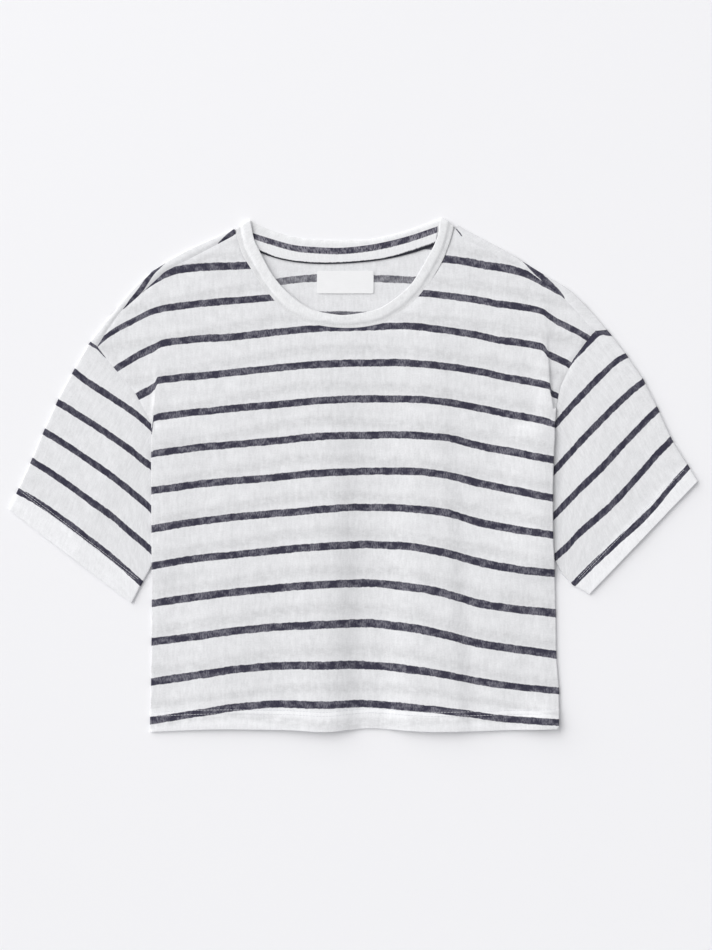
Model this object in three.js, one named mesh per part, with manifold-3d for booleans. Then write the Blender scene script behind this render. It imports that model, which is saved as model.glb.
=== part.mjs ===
// Cropped striped T-shirt lying flat on a surface, front up, neck towards +Y.
// Millimetres, +Z up. X runs across the chest, and the origin is on the surface at the middle.
// Left and right are as seen from above with the neck at the top.

import * as THREE from 'three';
import { mergeVertices } from 'three/addons/utils/BufferGeometryUtils.js';
import Module from 'manifold-3d';

const wasm = await Module();
wasm.setup();

// Cloth
const cloth = 1.0;
const hemCloth = 1.3;
const bandCloth = 1.2;
const hemWidth = 20;
const seamGap = 0.3;
const foldRadius = 0.8;
const foldSteps = 4;

// Heights of a panel's middle surface above the surface that the garment lies on
const floorLayer = cloth / 2;
const upperLayer = floorLayer + 2 * foldRadius;
const chestLoft = 0.6;
const sleeveLoft = 0.6;
const armpitLayer = upperLayer + 2.6;
const lowestFront = upperLayer - 0.1;

// Width of a row of the front that keeps the height of its edge, and of the slope beyond it
const edgePlateau = { open: 2, folded: 13 };
const edgeSlope = 46;

// Length tucked below an edge that doesn't reach a seam, and of a rolled shoulder's flat leg
const leastTuck = 0.3;
const shoulderLeg = 3;

// Part of a sleeve's upper layer that lies lower, because the body covers it: how far it
// drops, and where that fades in, across the sleeve and from the armhole down it
const coveredSleeve = { drop: 0.3, across: [0.45, 0.6], down: [0.35, 0.15] };
const loftReach = 1.15;

// Neckband: heights of its middle, and how far its corners roll out beyond their sections
const bandLift = { chest: 3.2, corner: 3.7, back: 0.6 };
const cornerReach = 0.9;

// Grids
const rowStep = 16;
const frontColumns = 26;
const sleeveColumns = 12;
const sleeveRings = 10;
const bandStations = 24;
const tapeStations = 14;
const labelCornerSteps = 3;

// Outlines, as points [x, y] in millimetres
const neckSeam = [[-117, 247], [-116.5, 241], [-111.7, 223.2], [-102, 206.3], [-80.5, 175],
  [-67.5, 163.2], [-50.5, 154], [-34, 149], [-6.5, 146.4], [15.5, 148.3], [32.5, 153],
  [48.5, 163], [67.2, 180], [88.5, 214], [98.5, 241], [100.3, 250]];
const neckEdge = [[-102.9, 255], [-99, 236], [-93.7, 224.6], [-78.8, 198], [-58.9, 177.3],
  [-40.5, 166], [-17.5, 161.2], [-10.5, 160.7], [5.5, 162.4], [25.5, 167.4], [42.5, 178],
  [57.2, 191.4], [73.8, 218], [83.5, 238], [87, 257.5]];
const backNeckSeam = [[-117, 247], [-107, 238], [-92, 230.5], [-74.5, 225.5], [-52, 222],
  [-13.5, 221], [19.5, 222.5], [52.5, 229], [76, 237], [92, 244.5], [100.3, 250]];
const backNeckEdge = [[-102.9, 255], [-90.5, 249], [-74.5, 243], [-59.5, 239], [-40.5, 236.5],
  [-13.5, 235.7], [19.5, 237], [52.5, 245], [69.5, 251], [87, 257.5]];
const tapeTop = [[-101.5, 243], [-82.5, 237], [-59.5, 230.8], [-33.5, 228.5], [-13.5, 228],
  [19.5, 231.5], [52.5, 239], [84, 249.5]];
const tapeFoot = [[-97, 224.5], [-75, 217], [-52, 213], [-18.5, 212], [28, 216], [61, 223.5],
  [82, 231]];

// Shoulders of the back panel: each row is a point of the fold and the point of the seam below it
const shoulders = {
  left: [[-119, 247, -117.6, 241.2], [-141.6, 236.9, -138.5, 230], [-167.6, 224.8, -163.5, 217],
    [-192.7, 210.6, -188.5, 204], [-208, 199, -201.5, 192], [-221.9, 184.9, -215.5, 179],
    [-236.7, 167.5, -232.5, 164], [-250.8, 150, -245.5, 146], [-263, 134.5, -256, 129.5]],
  right: [[104.5, 250.5, 102.6, 246], [113, 245.6, 109, 238], [130.4, 236.3, 126.5, 229],
    [151.8, 225, 147.5, 217], [176.3, 209.9, 173.5, 205.5], [194, 199, 190.5, 193],
    [213.5, 187.6, 208.5, 179], [231.1, 171.3, 223.5, 163.5], [243.9, 157.2, 235.5, 150],
    [253.5, 146, 242.5, 142.5]]
};

const sleeves = {
  left: {
    outerFold: [[-263, 134.5], [-279.5, 106], [-296.5, 74], [-310, 44], [-322.5, 14.3], [-344, -33]],
    underFold: [[-191.5, -72], [-203, -92.6], [-213.5, -111], [-221.5, -127]],
    frontSeam: [[-263, 134.5], [-256, 129.5], [-246.5, 117], [-237.5, 106], [-219.5, 85.5],
      [-206.5, 62], [-200.5, 52], [-196.5, 6], [-192.5, -34], [-191.5, -72]],
    backSeam: [[-263, 134.5], [-252.5, 120], [-243.5, 108], [-227.5, 88], [-212.5, 62],
      [-203.5, 40], [-196.5, 6], [-192.5, -34], [-191.5, -72]]
  },
  right: {
    outerFold: [[253.5, 146], [271.2, 123], [289, 97], [304.5, 67], [318.5, 37], [343.5, -5]],
    underFold: [[192.5, -67], [202, -85], [208.5, -98], [219.5, -109], [235.5, -118]],
    frontSeam: [[253.5, 146], [242.5, 142.5], [231.5, 131], [218.5, 114], [206.5, 90],
      [202, 68], [201, 54], [196.5, 26], [193.5, -24], [192.5, -67]],
    backSeam: [[253.5, 146], [246, 137], [235, 123], [222, 106], [210, 84],
      [204, 60], [198, 26], [193.5, -24], [192.5, -67]]
  }
};

// Rows of the front panel from the shoulders to the hem. Each has its left and right edge
// points, the angle in degrees that its edges are turned under through, and the height of
// its middle surface at the edge.
const frontRowColumns = ['leftX', 'leftY', 'rightX', 'rightY', 'turn', 'rim'];
const frontRows = [
  [-120.5, 239.7, 102.6, 246, 0, upperLayer],
  [-129, 235.1, 109, 238, 0, upperLayer],
  [-138.5, 230, 126.5, 229, 0, upperLayer],
  [-163.5, 217, 147.5, 217, 0, upperLayer],
  [-188.5, 204, 173.5, 205.5, 0, upperLayer],
  [-201.5, 192, 190.5, 193, 0, upperLayer],
  [-215.5, 179, 208.5, 179, 0, upperLayer],
  [-232.5, 164, 223.5, 163.5, 0, upperLayer],
  [-245.5, 146, 235.5, 150, 0, upperLayer],
  [-256, 129.5, 242.5, 142.5, 0, upperLayer],
  [-246.5, 117, 231.5, 131, 0, upperLayer],
  [-237.5, 106, 218.5, 114, 0, upperLayer],
  [-219.5, 85.5, 206.5, 90, 0, upperLayer + 0.2],
  [-206.5, 62, 202, 68, 0, upperLayer + 1.2],
  [-201.5, 52, 201.2, 54, 20, upperLayer + 2.2],
  [-201.6, 47, 201.3, 49, 60, armpitLayer + 0.5],
  [-201.7, 42, 201.4, 44, 120, armpitLayer + 0.7],
  [-201.8, 37, 201.5, 39, 180, armpitLayer + 0.3],
  [-202, 20, 201.5, 24, 180, armpitLayer],
  [-201.5, -14, 201, -14, 180, armpitLayer],
  [-201.5, -49, 200.5, -49, 180, armpitLayer],
  [-201.5, -92, 200.5, -92, 180, armpitLayer],
  [-201.5, -114, 201.5, -114, 180, upperLayer],
  [-201.7, -139, 202.5, -139, 180, upperLayer],
  [-202, -182, 203, -180, 180, upperLayer],
  [-202.5, -216, 206, -214, 180, upperLayer],
  [-203, -235, 205.8, -235, 180, upperLayer],
  [-203, -255.5, 205.5, -252.5, 180, upperLayer]
];

// Back panel's side seams, from the underarms to the hem
const backHemY = -253;
const backSides = {
  left: [[-190.9, -74], [-192.5, -114], [-194.5, -182], [-195.5, backHemY]],
  right: [[191.9, -69], [192.5, -114], [195, -180], [198, backHemY]]
};

// Seams that the turned-under edges of the front reach, from the armholes down
const underSeams = {
  left: [[-198.8, 37], [-198, 20], ...sleeves.left.frontSeam.slice(-3, -1), ...backSides.left],
  right: [[198.2, 39], [197, 24], ...sleeves.right.frontSeam.slice(-2, -1), ...backSides.right]
};

// Soft troughs and ridges of the front, each a straight stretch with its half width and height
const creaseColumns = ['startX', 'startY', 'endX', 'endY', 'halfWidth', 'startRise', 'endRise'];
const creases = [
  [-42, -20, -32, -256, 22, 0.2, 1.8],
  [10, 60, 13, -256, 17, 0.0, -1.0],
  [72, 60, 77, -256, 20, 0.4, 1.9],
  [112, 20, 118, -250, 12, -0.2, -0.6],
  [160, -150, 156, -256, 14, 0.0, 0.6],
  [188, 160, 196, 20, 9, 0.4, 1.0]
];
const creaseFade = { above: 40, below: -20 };

// Height of the front's lower edge line above or below the straight line between its corners
const hemWave = [[-203, 0], [-133, 2.2], [-64, 0.5], [-28, -1.5], [16, 1.5], [55, -1.2],
  [86, -2.4], [122, -2], [166, -0.6], [206, 0]];
const hemWaveY = { from: -185, full: -252 };

// Space above the neckline that is cut out of the front
const neckCut = { top: 290, bottom: -5, height: 25 };

const label = { x: -8.2, y: 193.7, width: 56.6, height: 22.6, corner: 1.2 };

function material(colour, roughness) {
  return new THREE.MeshStandardMaterial({ color: colour, roughness, metalness: 0 });
}

const jersey = material(0xe4e5e8, 0.9);
const bandJersey = material(0xeeeff1, 0.88);
const tapeJersey = material(0x4a4a5e, 0.9);
const labelWeave = material(0xf7f7f7, 0.7);

function mix(a, b, t) {
  return a + (b - a) * t;
}

function softStep(low, high, value) {
  const t = Math.min(1, Math.max(0, (value - low) / (high - low)));
  return t * t * (3 - 2 * t);
}

function named(columns, row) {
  return Object.fromEntries(columns.map((column, i) => [column, row[i]]));
}

// Point at a fraction of a smooth curve through flat points
function curveOf(points) {
  return new THREE.CatmullRomCurve3(points.map(([x, y]) => new THREE.Vector3(x, y, 0)), false, 'centripetal');
}

// Point at a fraction of the length of a line of straight stretches
function alongLine(points, fraction) {
  const lengths = points.slice(1).map(([x, y], i) => Math.hypot(x - points[i][0], y - points[i][1]));
  let left = fraction * lengths.reduce((sum, length) => sum + length, 0);
  for (let i = 0; i < lengths.length; i += 1) {
    if (left <= lengths[i] || i === lengths.length - 1) {
      const t = Math.min(1, left / lengths[i]);
      return [mix(points[i][0], points[i + 1][0], t), mix(points[i][1], points[i + 1][1], t)];
    }
    left -= lengths[i];
  }
  return points[points.length - 1];
}

function valueAt(table, x) {
  let i = 1;
  while (i < table.length - 1 && table[i][0] < x) i += 1;
  const [x0, v0] = table[i - 1];
  const [x1, v1] = table[i];
  return mix(v0, v1, softStep(x0, x1, x));
}

// Closed body from lists of points and triangles
function geometryOf(points, triangles) {
  const geometry = new THREE.BufferGeometry();
  geometry.setAttribute('position', new THREE.Float32BufferAttribute(points.flatMap((p) => [p.x, p.y, p.z]), 3));
  geometry.setIndex(triangles);
  return geometry;
}

// Wall round a grid of middle points. Rows are lists of points of equal length; in a tube
// each row closes on itself. The outer skin lies on the side of the normal.
function wallOfGrid(grid, halfThickness, tube) {
  const rows = grid.length;
  const columns = grid[0].length;
  const across = (i, j) => {
    const before = tube ? grid[i][(j + columns - 1) % columns] : grid[i][Math.max(0, j - 1)];
    const after = tube ? grid[i][(j + 1) % columns] : grid[i][Math.min(columns - 1, j + 1)];
    return after.clone().sub(before);
  };
  const down = (i, j) => grid[Math.min(rows - 1, i + 1)][j].clone().sub(grid[Math.max(0, i - 1)][j]);
  const outer = [];
  const inner = [];
  for (let i = 0; i < rows; i += 1) {
    for (let j = 0; j < columns; j += 1) {
      const normal = down(i, j).cross(across(i, j)).normalize();
      const half = halfThickness(i, j);
      const skinOut = grid[i][j].clone().addScaledVector(normal, half);
      const skinIn = grid[i][j].clone().addScaledVector(normal, -half);
      skinOut.z = Math.max(0, skinOut.z);
      skinIn.z = Math.max(0, skinIn.z);
      outer.push(skinOut);
      inner.push(skinIn);
    }
  }
  const points = outer.concat(inner);
  const offset = rows * columns;
  const at = (i, j) => i * columns + (j % columns);
  const triangles = [];
  const quad = (a, b, c, d) => triangles.push(a, b, c, a, c, d);
  const spans = tube ? columns : columns - 1;
  for (let i = 0; i < rows - 1; i += 1) {
    for (let j = 0; j < spans; j += 1) {
      quad(at(i, j), at(i + 1, j), at(i + 1, j + 1), at(i, j + 1));
      quad(offset + at(i, j), offset + at(i, j + 1), offset + at(i + 1, j + 1), offset + at(i + 1, j));
    }
  }
  for (let j = 0; j < spans; j += 1) {
    quad(at(0, j), at(0, j + 1), offset + at(0, j + 1), offset + at(0, j));
    quad(at(rows - 1, j), offset + at(rows - 1, j), offset + at(rows - 1, j + 1), at(rows - 1, j + 1));
  }
  if (!tube) {
    const last = columns - 1;
    for (let i = 0; i < rows - 1; i += 1) {
      quad(at(i, 0), offset + at(i, 0), offset + at(i + 1, 0), at(i + 1, 0));
      quad(at(i, last), at(i + 1, last), offset + at(i + 1, last), offset + at(i, last));
    }
  }
  return geometryOf(points, triangles);
}

// Body through closed sections of equal length. A ring closes on its first section.
function loft(sections, ring) {
  const count = sections[0].length;
  const points = sections.flat();
  const triangles = [];
  const spans = ring ? sections.length : sections.length - 1;
  for (let i = 0; i < spans; i += 1) {
    const here = i * count;
    const next = ((i + 1) % sections.length) * count;
    for (let j = 0; j < count; j += 1) {
      const k = (j + 1) % count;
      triangles.push(here + j, here + k, next + k, here + j, next + k, next + j);
    }
  }
  if (!ring) {
    const cap = (section, base, turned) => {
      const origin = section[0];
      const u = section[1].clone().sub(origin).normalize();
      const normal = new THREE.Vector3();
      for (let j = 1; j < count - 1; j += 1) {
        normal.add(section[j].clone().sub(origin).cross(section[j + 1].clone().sub(origin)));
      }
      normal.normalize();
      const v = normal.clone().cross(u);
      const flat = section.map((p) => {
        const d = p.clone().sub(origin);
        return new THREE.Vector2(d.dot(u), d.dot(v));
      });
      THREE.ShapeUtils.triangulateShape(flat, []).forEach(([a, b, c]) => {
        if (turned) triangles.push(base + a, base + c, base + b);
        else triangles.push(base + a, base + b, base + c);
      });
    };
    cap(sections[0], 0, true);
    cap(sections[sections.length - 1], (sections.length - 1) * count, false);
  }
  return geometryOf(points, triangles);
}

function slab(outline, bottom, thickness) {
  const shape = new THREE.Shape(outline.map(([x, y]) => new THREE.Vector2(x, y)));
  const geometry = new THREE.ExtrudeGeometry(shape, { depth: thickness, bevelEnabled: false });
  return geometry.translate(0, 0, bottom);
}

// Solid for cutting and joining, with its faces turned outwards
function solidOf(geometry) {
  const plain = geometry.clone();
  plain.deleteAttribute('normal');
  plain.deleteAttribute('uv');
  const merged = mergeVertices(plain, 1e-4);
  const vertProperties = new Float32Array(merged.attributes.position.array);
  const triVerts = new Uint32Array(merged.index.array);
  if (volumeOf(merged) < 0) {
    for (let i = 0; i < triVerts.length; i += 3) {
      [triVerts[i + 1], triVerts[i + 2]] = [triVerts[i + 2], triVerts[i + 1]];
    }
  }
  return new wasm.Manifold(new wasm.Mesh({ numProp: 3, vertProperties, triVerts }));
}

function volumeOf(geometry) {
  const position = geometry.attributes.position;
  const index = geometry.index.array;
  const [a, b, c] = [new THREE.Vector3(), new THREE.Vector3(), new THREE.Vector3()];
  let six = 0;
  for (let i = 0; i < index.length; i += 3) {
    a.fromBufferAttribute(position, index[i]);
    b.fromBufferAttribute(position, index[i + 1]);
    c.fromBufferAttribute(position, index[i + 2]);
    six += a.dot(b.cross(c));
  }
  return six / 6;
}

function meshOf(name, solid, finish) {
  const { vertProperties, triVerts } = solid.getMesh();
  const geometry = new THREE.BufferGeometry();
  geometry.setAttribute('position', new THREE.Float32BufferAttribute(vertProperties, 3));
  geometry.setIndex(Array.from(triVerts));
  geometry.computeVertexNormals();
  const mesh = new THREE.Mesh(geometry, finish);
  mesh.name = name;
  return mesh;
}

// Points of a smooth curve, moved sideways by a distance
function movedCurve(points, count, distance) {
  const curve = curveOf(points);
  const moved = [];
  for (let i = 0; i <= count; i += 1) {
    const p = curve.getPointAt(i / count);
    const t = curve.getTangentAt(i / count);
    moved.push([p.x - t.y * distance, p.y + t.x * distance]);
  }
  return moved;
}

// Rows of a table, with more rows worked out between those that lie far apart
function filledRows(columns, table, step) {
  const rows = [];
  table.forEach((row, i) => {
    if (i > 0) {
      const before = table[i - 1];
      const gap = Math.max(Math.abs(row[1] - before[1]), Math.abs(row[3] - before[3]));
      const parts = Math.max(1, Math.round(gap / step));
      for (let k = 1; k < parts; k += 1) {
        rows.push(named(columns, row.map((value, c) => mix(before[c], value, k / parts))));
      }
    }
    rows.push(named(columns, row));
  });
  return rows;
}

// Rise of the front at a point, from its troughs and ridges
function creaseRise(x, y) {
  let rise = 0;
  creases.forEach((row) => {
    const crease = named(creaseColumns, row);
    const t = Math.min(1, Math.max(0, (y - crease.startY) / (crease.endY - crease.startY)));
    const away = (x - mix(crease.startX, crease.endX, t)) / crease.halfWidth;
    rise += mix(crease.startRise, crease.endRise, t) * Math.exp(-away * away) *
      softStep(creaseFade.above, creaseFade.below, y - crease.startY);
  });
  return rise;
}

// X of a seam at a height down the panel
function seamXAt(seam, y) {
  let i = 1;
  while (i < seam.length - 1 && seam[i][1] > y) i += 1;
  const [x0, y0] = seam[i - 1];
  const [x1, y1] = seam[i];
  return mix(x0, x1, Math.min(1, Math.max(0, (y - y0) / (y1 - y0))));
}

// Length of the part of an edge that lies under the panel beyond its fold
function tuckOf(row, edgeX, y, seam) {
  if (row.turn < 180) return leastTuck;
  const seamX = seamXAt(seam, y);
  return Math.abs(seamX - edgeX) - foldRadius - cloth / 2 - seamGap / 2;
}

// Points of the turned-under edge of a row, outwards from the flat part. Each has its
// distance out and its drop below the flat part.
function turnedEdge(turnDegrees, tuck) {
  const turn = THREE.MathUtils.degToRad(turnDegrees);
  const rollLength = Math.PI * foldRadius;
  const points = [];
  for (let k = 1; k <= foldSteps; k += 1) {
    const angle = (turn * k) / foldSteps;
    const run = (rollLength * k) / foldSteps;
    const bent = turn > 0.01;
    points.push({
      out: bent ? (rollLength / turn) * Math.sin(angle) : run,
      drop: bent ? (rollLength / turn) * (1 - Math.cos(angle)) : 0
    });
  }
  const end = points[points.length - 1];
  points.push({ out: end.out + tuck * Math.cos(turn), drop: end.drop + tuck * Math.sin(turn) });
  return points;
}

function frontRow(row) {
  const leftEdge = turnedEdge(row.turn, tuckOf(row, row.leftX, row.leftY, underSeams.left));
  const rightEdge = turnedEdge(row.turn, tuckOf(row, row.rightX, row.rightY, underSeams.right));
  const skinReach = (cloth / 2) * Math.sin(THREE.MathUtils.degToRad(Math.min(90, row.turn)));
  const startX = row.leftX + Math.max(...leftEdge.map((point) => point.out)) + skinReach;
  const endX = row.rightX - Math.max(...rightEdge.map((point) => point.out)) - skinReach;
  const plateau = mix(edgePlateau.open, edgePlateau.folded, row.turn / 180);
  const waveShare = softStep(hemWaveY.from, hemWaveY.full, row.leftY);
  const flat = [];
  for (let j = 0; j <= frontColumns; j += 1) {
    const t = j / frontColumns;
    const x = mix(startX, endX, t);
    const inward = Math.min(x - startX, endX - x);
    const inside = softStep(plateau, plateau + edgeSlope, inward);
    const y = mix(row.leftY, row.rightY, t) + valueAt(hemWave, x) * waveShare;
    const rest = mix(row.rim, upperLayer + chestLoft, inside);
    const z = Math.max(lowestFront, rest + creaseRise(x, y) * inside);
    flat.push(new THREE.Vector3(x, y, z));
  }
  const left = leftEdge.map((p) => new THREE.Vector3(startX - p.out, row.leftY, row.rim - p.drop)).reverse();
  const right = rightEdge.map((p) => new THREE.Vector3(endX + p.out, row.rightY, row.rim - p.drop));
  return left.concat(flat, right);
}

function neckPrism() {
  const outline = movedCurve(neckSeam, bandStations, -seamGap / 2);
  const [first] = outline;
  const last = outline[outline.length - 1];
  outline.push([last[0], neckCut.top], [first[0], neckCut.top]);
  return solidOf(slab(outline, neckCut.bottom, neckCut.height));
}

function front() {
  const rows = filledRows(frontRowColumns, frontRows, rowStep);
  const lowest = rows[rows.length - 1].leftY;
  const grid = rows.map((row) => frontRow(row));
  const half = (i) => mix(hemCloth, cloth, softStep(hemWidth - 1, hemWidth + 1, rows[i].leftY - lowest)) / 2;
  return solidOf(wallOfGrid(grid, half, false)).subtract(neckPrism());
}

// Points of a shoulder from the neck to the armhole, with more worked out between the rows
function shoulderPoints(side) {
  const points = [];
  side.forEach((row, i) => {
    if (i > 0) points.push(row.map((value, c) => (value + side[i - 1][c]) / 2));
    points.push(row);
  });
  return points.map(([foldX, foldY, seamX, seamY]) => ({
    fold: new THREE.Vector2(foldX, foldY),
    seam: new THREE.Vector2(seamX, seamY)
  }));
}

// One shoulder of the back panel, rolled over to its seam on the front
function shoulderRoll(side) {
  const sections = shoulderPoints(side).map(({ fold, seam }) => {
    const out = fold.clone().sub(seam).normalize();
    const rollStart = fold.distanceTo(seam) - foldRadius - cloth / 2;
    const at = (run, z) => new THREE.Vector3(seam.x + out.x * run, seam.y + out.y * run, z);
    const skin = (radius, from, to) => {
      const arc = [];
      for (let k = 0; k <= foldSteps; k += 1) {
        const angle = mix(from, to, k / foldSteps);
        arc.push(at(rollStart + radius * Math.cos(angle), floorLayer + foldRadius + radius * Math.sin(angle)));
      }
      return arc;
    };
    const quarter = Math.PI / 2;
    const outside = skin(foldRadius + cloth / 2, quarter, -quarter);
    const inside = skin(foldRadius - cloth / 2, -quarter, quarter);
    const legEnd = rollStart - shoulderLeg;
    return [at(seamGap, upperLayer + cloth / 2), ...outside, at(legEnd, 0), at(legEnd, cloth),
      ...inside, at(seamGap, upperLayer - cloth / 2)];
  });
  return solidOf(loft(sections, false));
}

// Edge of the flat part of the back panel along a shoulder
function shoulderInset(side, distance) {
  return shoulderPoints(side).map(({ fold, seam }) => {
    const inward = seam.clone().sub(fold).normalize().multiplyScalar(distance);
    return [fold.x + inward.x, fold.y + inward.y];
  });
}

function back() {
  const inset = foldRadius + cloth / 2 + 1;
  const half = seamGap / 2;
  const neck = movedCurve(backNeckSeam, bandStations, -half);
  const outline = [
    ...backSides.left.slice().reverse().map(([x, y]) => [x + half, y]),
    ...sleeves.left.backSeam.slice(1, -1).reverse().map(([x, y]) => [x + 2 * half, y]),
    ...shoulderInset(shoulders.left, inset).reverse(),
    ...neck,
    ...shoulderInset(shoulders.right, inset),
    ...sleeves.right.backSeam.slice(1, -1).map(([x, y]) => [x - 2 * half, y]),
    ...backSides.right.map(([x, y]) => [x - half, y])
  ];
  return solidOf(slab(outline, 0, cloth)).add(shoulderRoll(shoulders.left)).add(shoulderRoll(shoulders.right));
}

function sleeve(side) {
  const layerPoint = (seam, a, t) => {
    const [ax, ay] = alongLine(seam, a);
    const [ox, oy] = alongLine(side.outerFold, t);
    const [ux, uy] = alongLine(side.underFold, t);
    const [o0x, o0y] = side.outerFold[0];
    const [u0x, u0y] = side.underFold[0];
    const [o1x, o1y] = side.outerFold[side.outerFold.length - 1];
    const [u1x, u1y] = side.underFold[side.underFold.length - 1];
    const hemX = mix(o1x, u1x, a);
    const hemY = mix(o1y, u1y, a);
    const cornerX = mix(mix(o0x, u0x, a), mix(o1x, u1x, a), t);
    const cornerY = mix(mix(o0y, u0y, a), mix(o1y, u1y, a), t);
    return new THREE.Vector2(
      mix(ax, hemX, t) + mix(ox, ux, a) - cornerX,
      mix(ay, hemY, t) + mix(oy, uy, a) - cornerY
    );
  };
  const length = Math.hypot(side.outerFold[0][0] - side.outerFold.at(-1)[0],
    side.outerFold[0][1] - side.outerFold.at(-1)[1]);
  const start = 1.5 * seamGap / length;
  const hemStart = 1 - hemWidth / length;
  const stations = [];
  for (let i = 0; i <= sleeveRings; i += 1) stations.push(mix(start, hemStart - 1 / length, i / sleeveRings));
  stations.push(hemStart, 1);
  const grid = stations.map((t) => {
    const layer = (seam) => {
      const points = [];
      for (let k = 0; k <= sleeveColumns; k += 1) points.push(layerPoint(seam, k / sleeveColumns, t));
      return points;
    };
    const top = layer(side.frontSeam);
    const bottom = layer(side.backSeam);
    const inset = foldRadius + cloth / 2;
    const pull = (points) => {
      const last = points.length - 1;
      const outDirection = points[0].clone().sub(points[1]).normalize();
      const underDirection = points[last].clone().sub(points[last - 1]).normalize();
      points[0].addScaledVector(outDirection, -inset);
      points[last].addScaledVector(underDirection, -inset);
      return { outDirection, underDirection };
    };
    const { outDirection, underDirection } = pull(top);
    pull(bottom);
    bottom[0].copy(top[0]);
    bottom[sleeveColumns].copy(top[sleeveColumns]);
    const ring = [];
    top.forEach((p, k) => {
      const a = k / sleeveColumns;
      const rise = sleeveLoft * Math.sin(Math.PI * a) * Math.sin(Math.PI * Math.min(1, t * loftReach));
      const { drop, across, down } = coveredSleeve;
      const covered = drop * softStep(...across, a) * softStep(...down, t);
      ring.push(new THREE.Vector3(p.x, p.y, upperLayer + rise - covered));
    });
    const roll = (centre, direction, from) => {
      for (let k = 1; k < foldSteps; k += 1) {
        const angle = Math.PI * (k / foldSteps);
        const z = floorLayer + foldRadius + from * foldRadius * Math.cos(angle);
        const run = foldRadius * Math.sin(angle);
        ring.push(new THREE.Vector3(centre.x + direction.x * run, centre.y + direction.y * run, z));
      }
    };
    roll(top[sleeveColumns], underDirection, 1);
    bottom.slice().reverse().forEach((p) => ring.push(new THREE.Vector3(p.x, p.y, floorLayer)));
    roll(top[0], outDirection, -1);
    return ring;
  });
  const half = (i) => (i > sleeveRings ? hemCloth : cloth) / 2;
  return solidOf(wallOfGrid(grid, half, true));
}

// Section of the neckband from its sewn edge to its free edge. Its outer face looks along
// the given direction and has two soft ridges.
function bandSection(seam, edge, middle, face, ridge) {
  const at = (fraction, rise) => new THREE.Vector3(
    mix(seam.x, edge.x, fraction) + face.x * rise,
    mix(seam.y, edge.y, fraction) + face.y * rise,
    middle + face.z * rise
  );
  const half = bandCloth / 2;
  return [at(0, -half), at(0, half - 0.3 * ridge), at(0.12, half), at(0.27, half - 0.3 * ridge),
    at(0.5, half + 0.1 * ridge), at(0.85, half), at(1, half - 0.5 * ridge), at(0.97, -half)];
}

function neckband() {
  const half = seamGap / 2;
  const flatPoint = ([x, y]) => new THREE.Vector2(x, y);
  const seams = movedCurve(neckSeam, bandStations, half).map(flatPoint);
  const edges = movedCurve(neckEdge, bandStations, 0).map(flatPoint);
  const backSeams = movedCurve(backNeckSeam, bandStations, half).map(flatPoint).reverse();
  const backEdges = movedCurve(backNeckEdge, bandStations, 0).map(flatPoint).reverse();
  const up = new THREE.Vector3(0, 0, 1);
  const down = new THREE.Vector3(0, 0, -1);
  const sections = seams.map((seam, i) => {
    const toCorner = Math.abs(i / bandStations - 0.5) * 2;
    const middle = mix(bandLift.chest, bandLift.corner, softStep(0.5, 0.85, toCorner));
    return bandSection(seam, edges[i], middle, up, 1);
  });
  const radius = (bandLift.corner - bandLift.back) / 2;
  const roll = (seam, edge, direction) => {
    const out = new THREE.Vector2(-(edge.y - seam.y), edge.x - seam.x).normalize();
    if (out.y < 0) out.negate();
    for (let k = 1; k < foldSteps; k += 1) {
      const angle = (Math.PI * k) / foldSteps;
      const shift = out.clone().multiplyScalar(cornerReach * Math.sin(angle));
      const face = new THREE.Vector3(out.x * Math.sin(angle), out.y * Math.sin(angle), direction * Math.cos(angle));
      sections.push(bandSection(seam.clone().add(shift), edge.clone().add(shift),
        bandLift.back + radius + direction * radius * Math.cos(angle), face, 0));
    }
  };
  roll(seams[bandStations], edges[bandStations], 1);
  backSeams.forEach((seam, i) => sections.push(bandSection(seam, backEdges[i], bandLift.back, down, 0)));
  roll(seams[0], edges[0], -1);
  return solidOf(loft(sections, true));
}

function neckTape() {
  const bottom = bandCloth + seamGap;
  const tops = movedCurve(tapeTop, tapeStations, 0);
  const feet = movedCurve(tapeFoot, tapeStations, 0);
  const sections = tops.map(([x, y], i) => {
    const [footX, footY] = feet[i];
    return [new THREE.Vector3(x, y, bottom), new THREE.Vector3(x, y, bottom + cloth),
      new THREE.Vector3(footX, footY, bottom + cloth), new THREE.Vector3(footX, footY, bottom)];
  });
  return solidOf(loft(sections, false));
}

function blankLabel() {
  const { x, y, width, height, corner } = label;
  const outline = [];
  for (const [sideX, sideY, start] of [[1, 1, 0], [-1, 1, 1], [-1, -1, 2], [1, -1, 3]]) {
    for (let k = 0; k <= labelCornerSteps; k += 1) {
      const angle = (start + k / labelCornerSteps) * Math.PI / 2;
      outline.push([x + sideX * (width / 2 - corner) + corner * Math.cos(angle),
        y + sideY * (height / 2 - corner) + corner * Math.sin(angle)]);
    }
  }
  return solidOf(slab(outline, cloth + seamGap, cloth));
}

const cropTop = new THREE.Group();
cropTop.name = 'crop_top';
cropTop.add(
  meshOf('front', front(), jersey),
  meshOf('back', back(), jersey),
  meshOf('sleeve_left', sleeve(sleeves.left), jersey),
  meshOf('sleeve_right', sleeve(sleeves.right), jersey),
  meshOf('neckband', neckband(), bandJersey),
  meshOf('neck_tape', neckTape(), tapeJersey),
  meshOf('label', blankLabel(), labelWeave)
);

// The origin is below the middle of the whole garment
const centring = new THREE.Vector3(0.25, -1.55, 0);
cropTop.position.copy(centring);

export default cropTop;
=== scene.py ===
# Striped crop top in light jersey, laid flat on a pale floor and seen from straight above.
import math

import bpy
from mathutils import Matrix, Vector, noise
from mathutils.geometry import delaunay_2d_cdt
from mathutils.kdtree import KDTree


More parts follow.
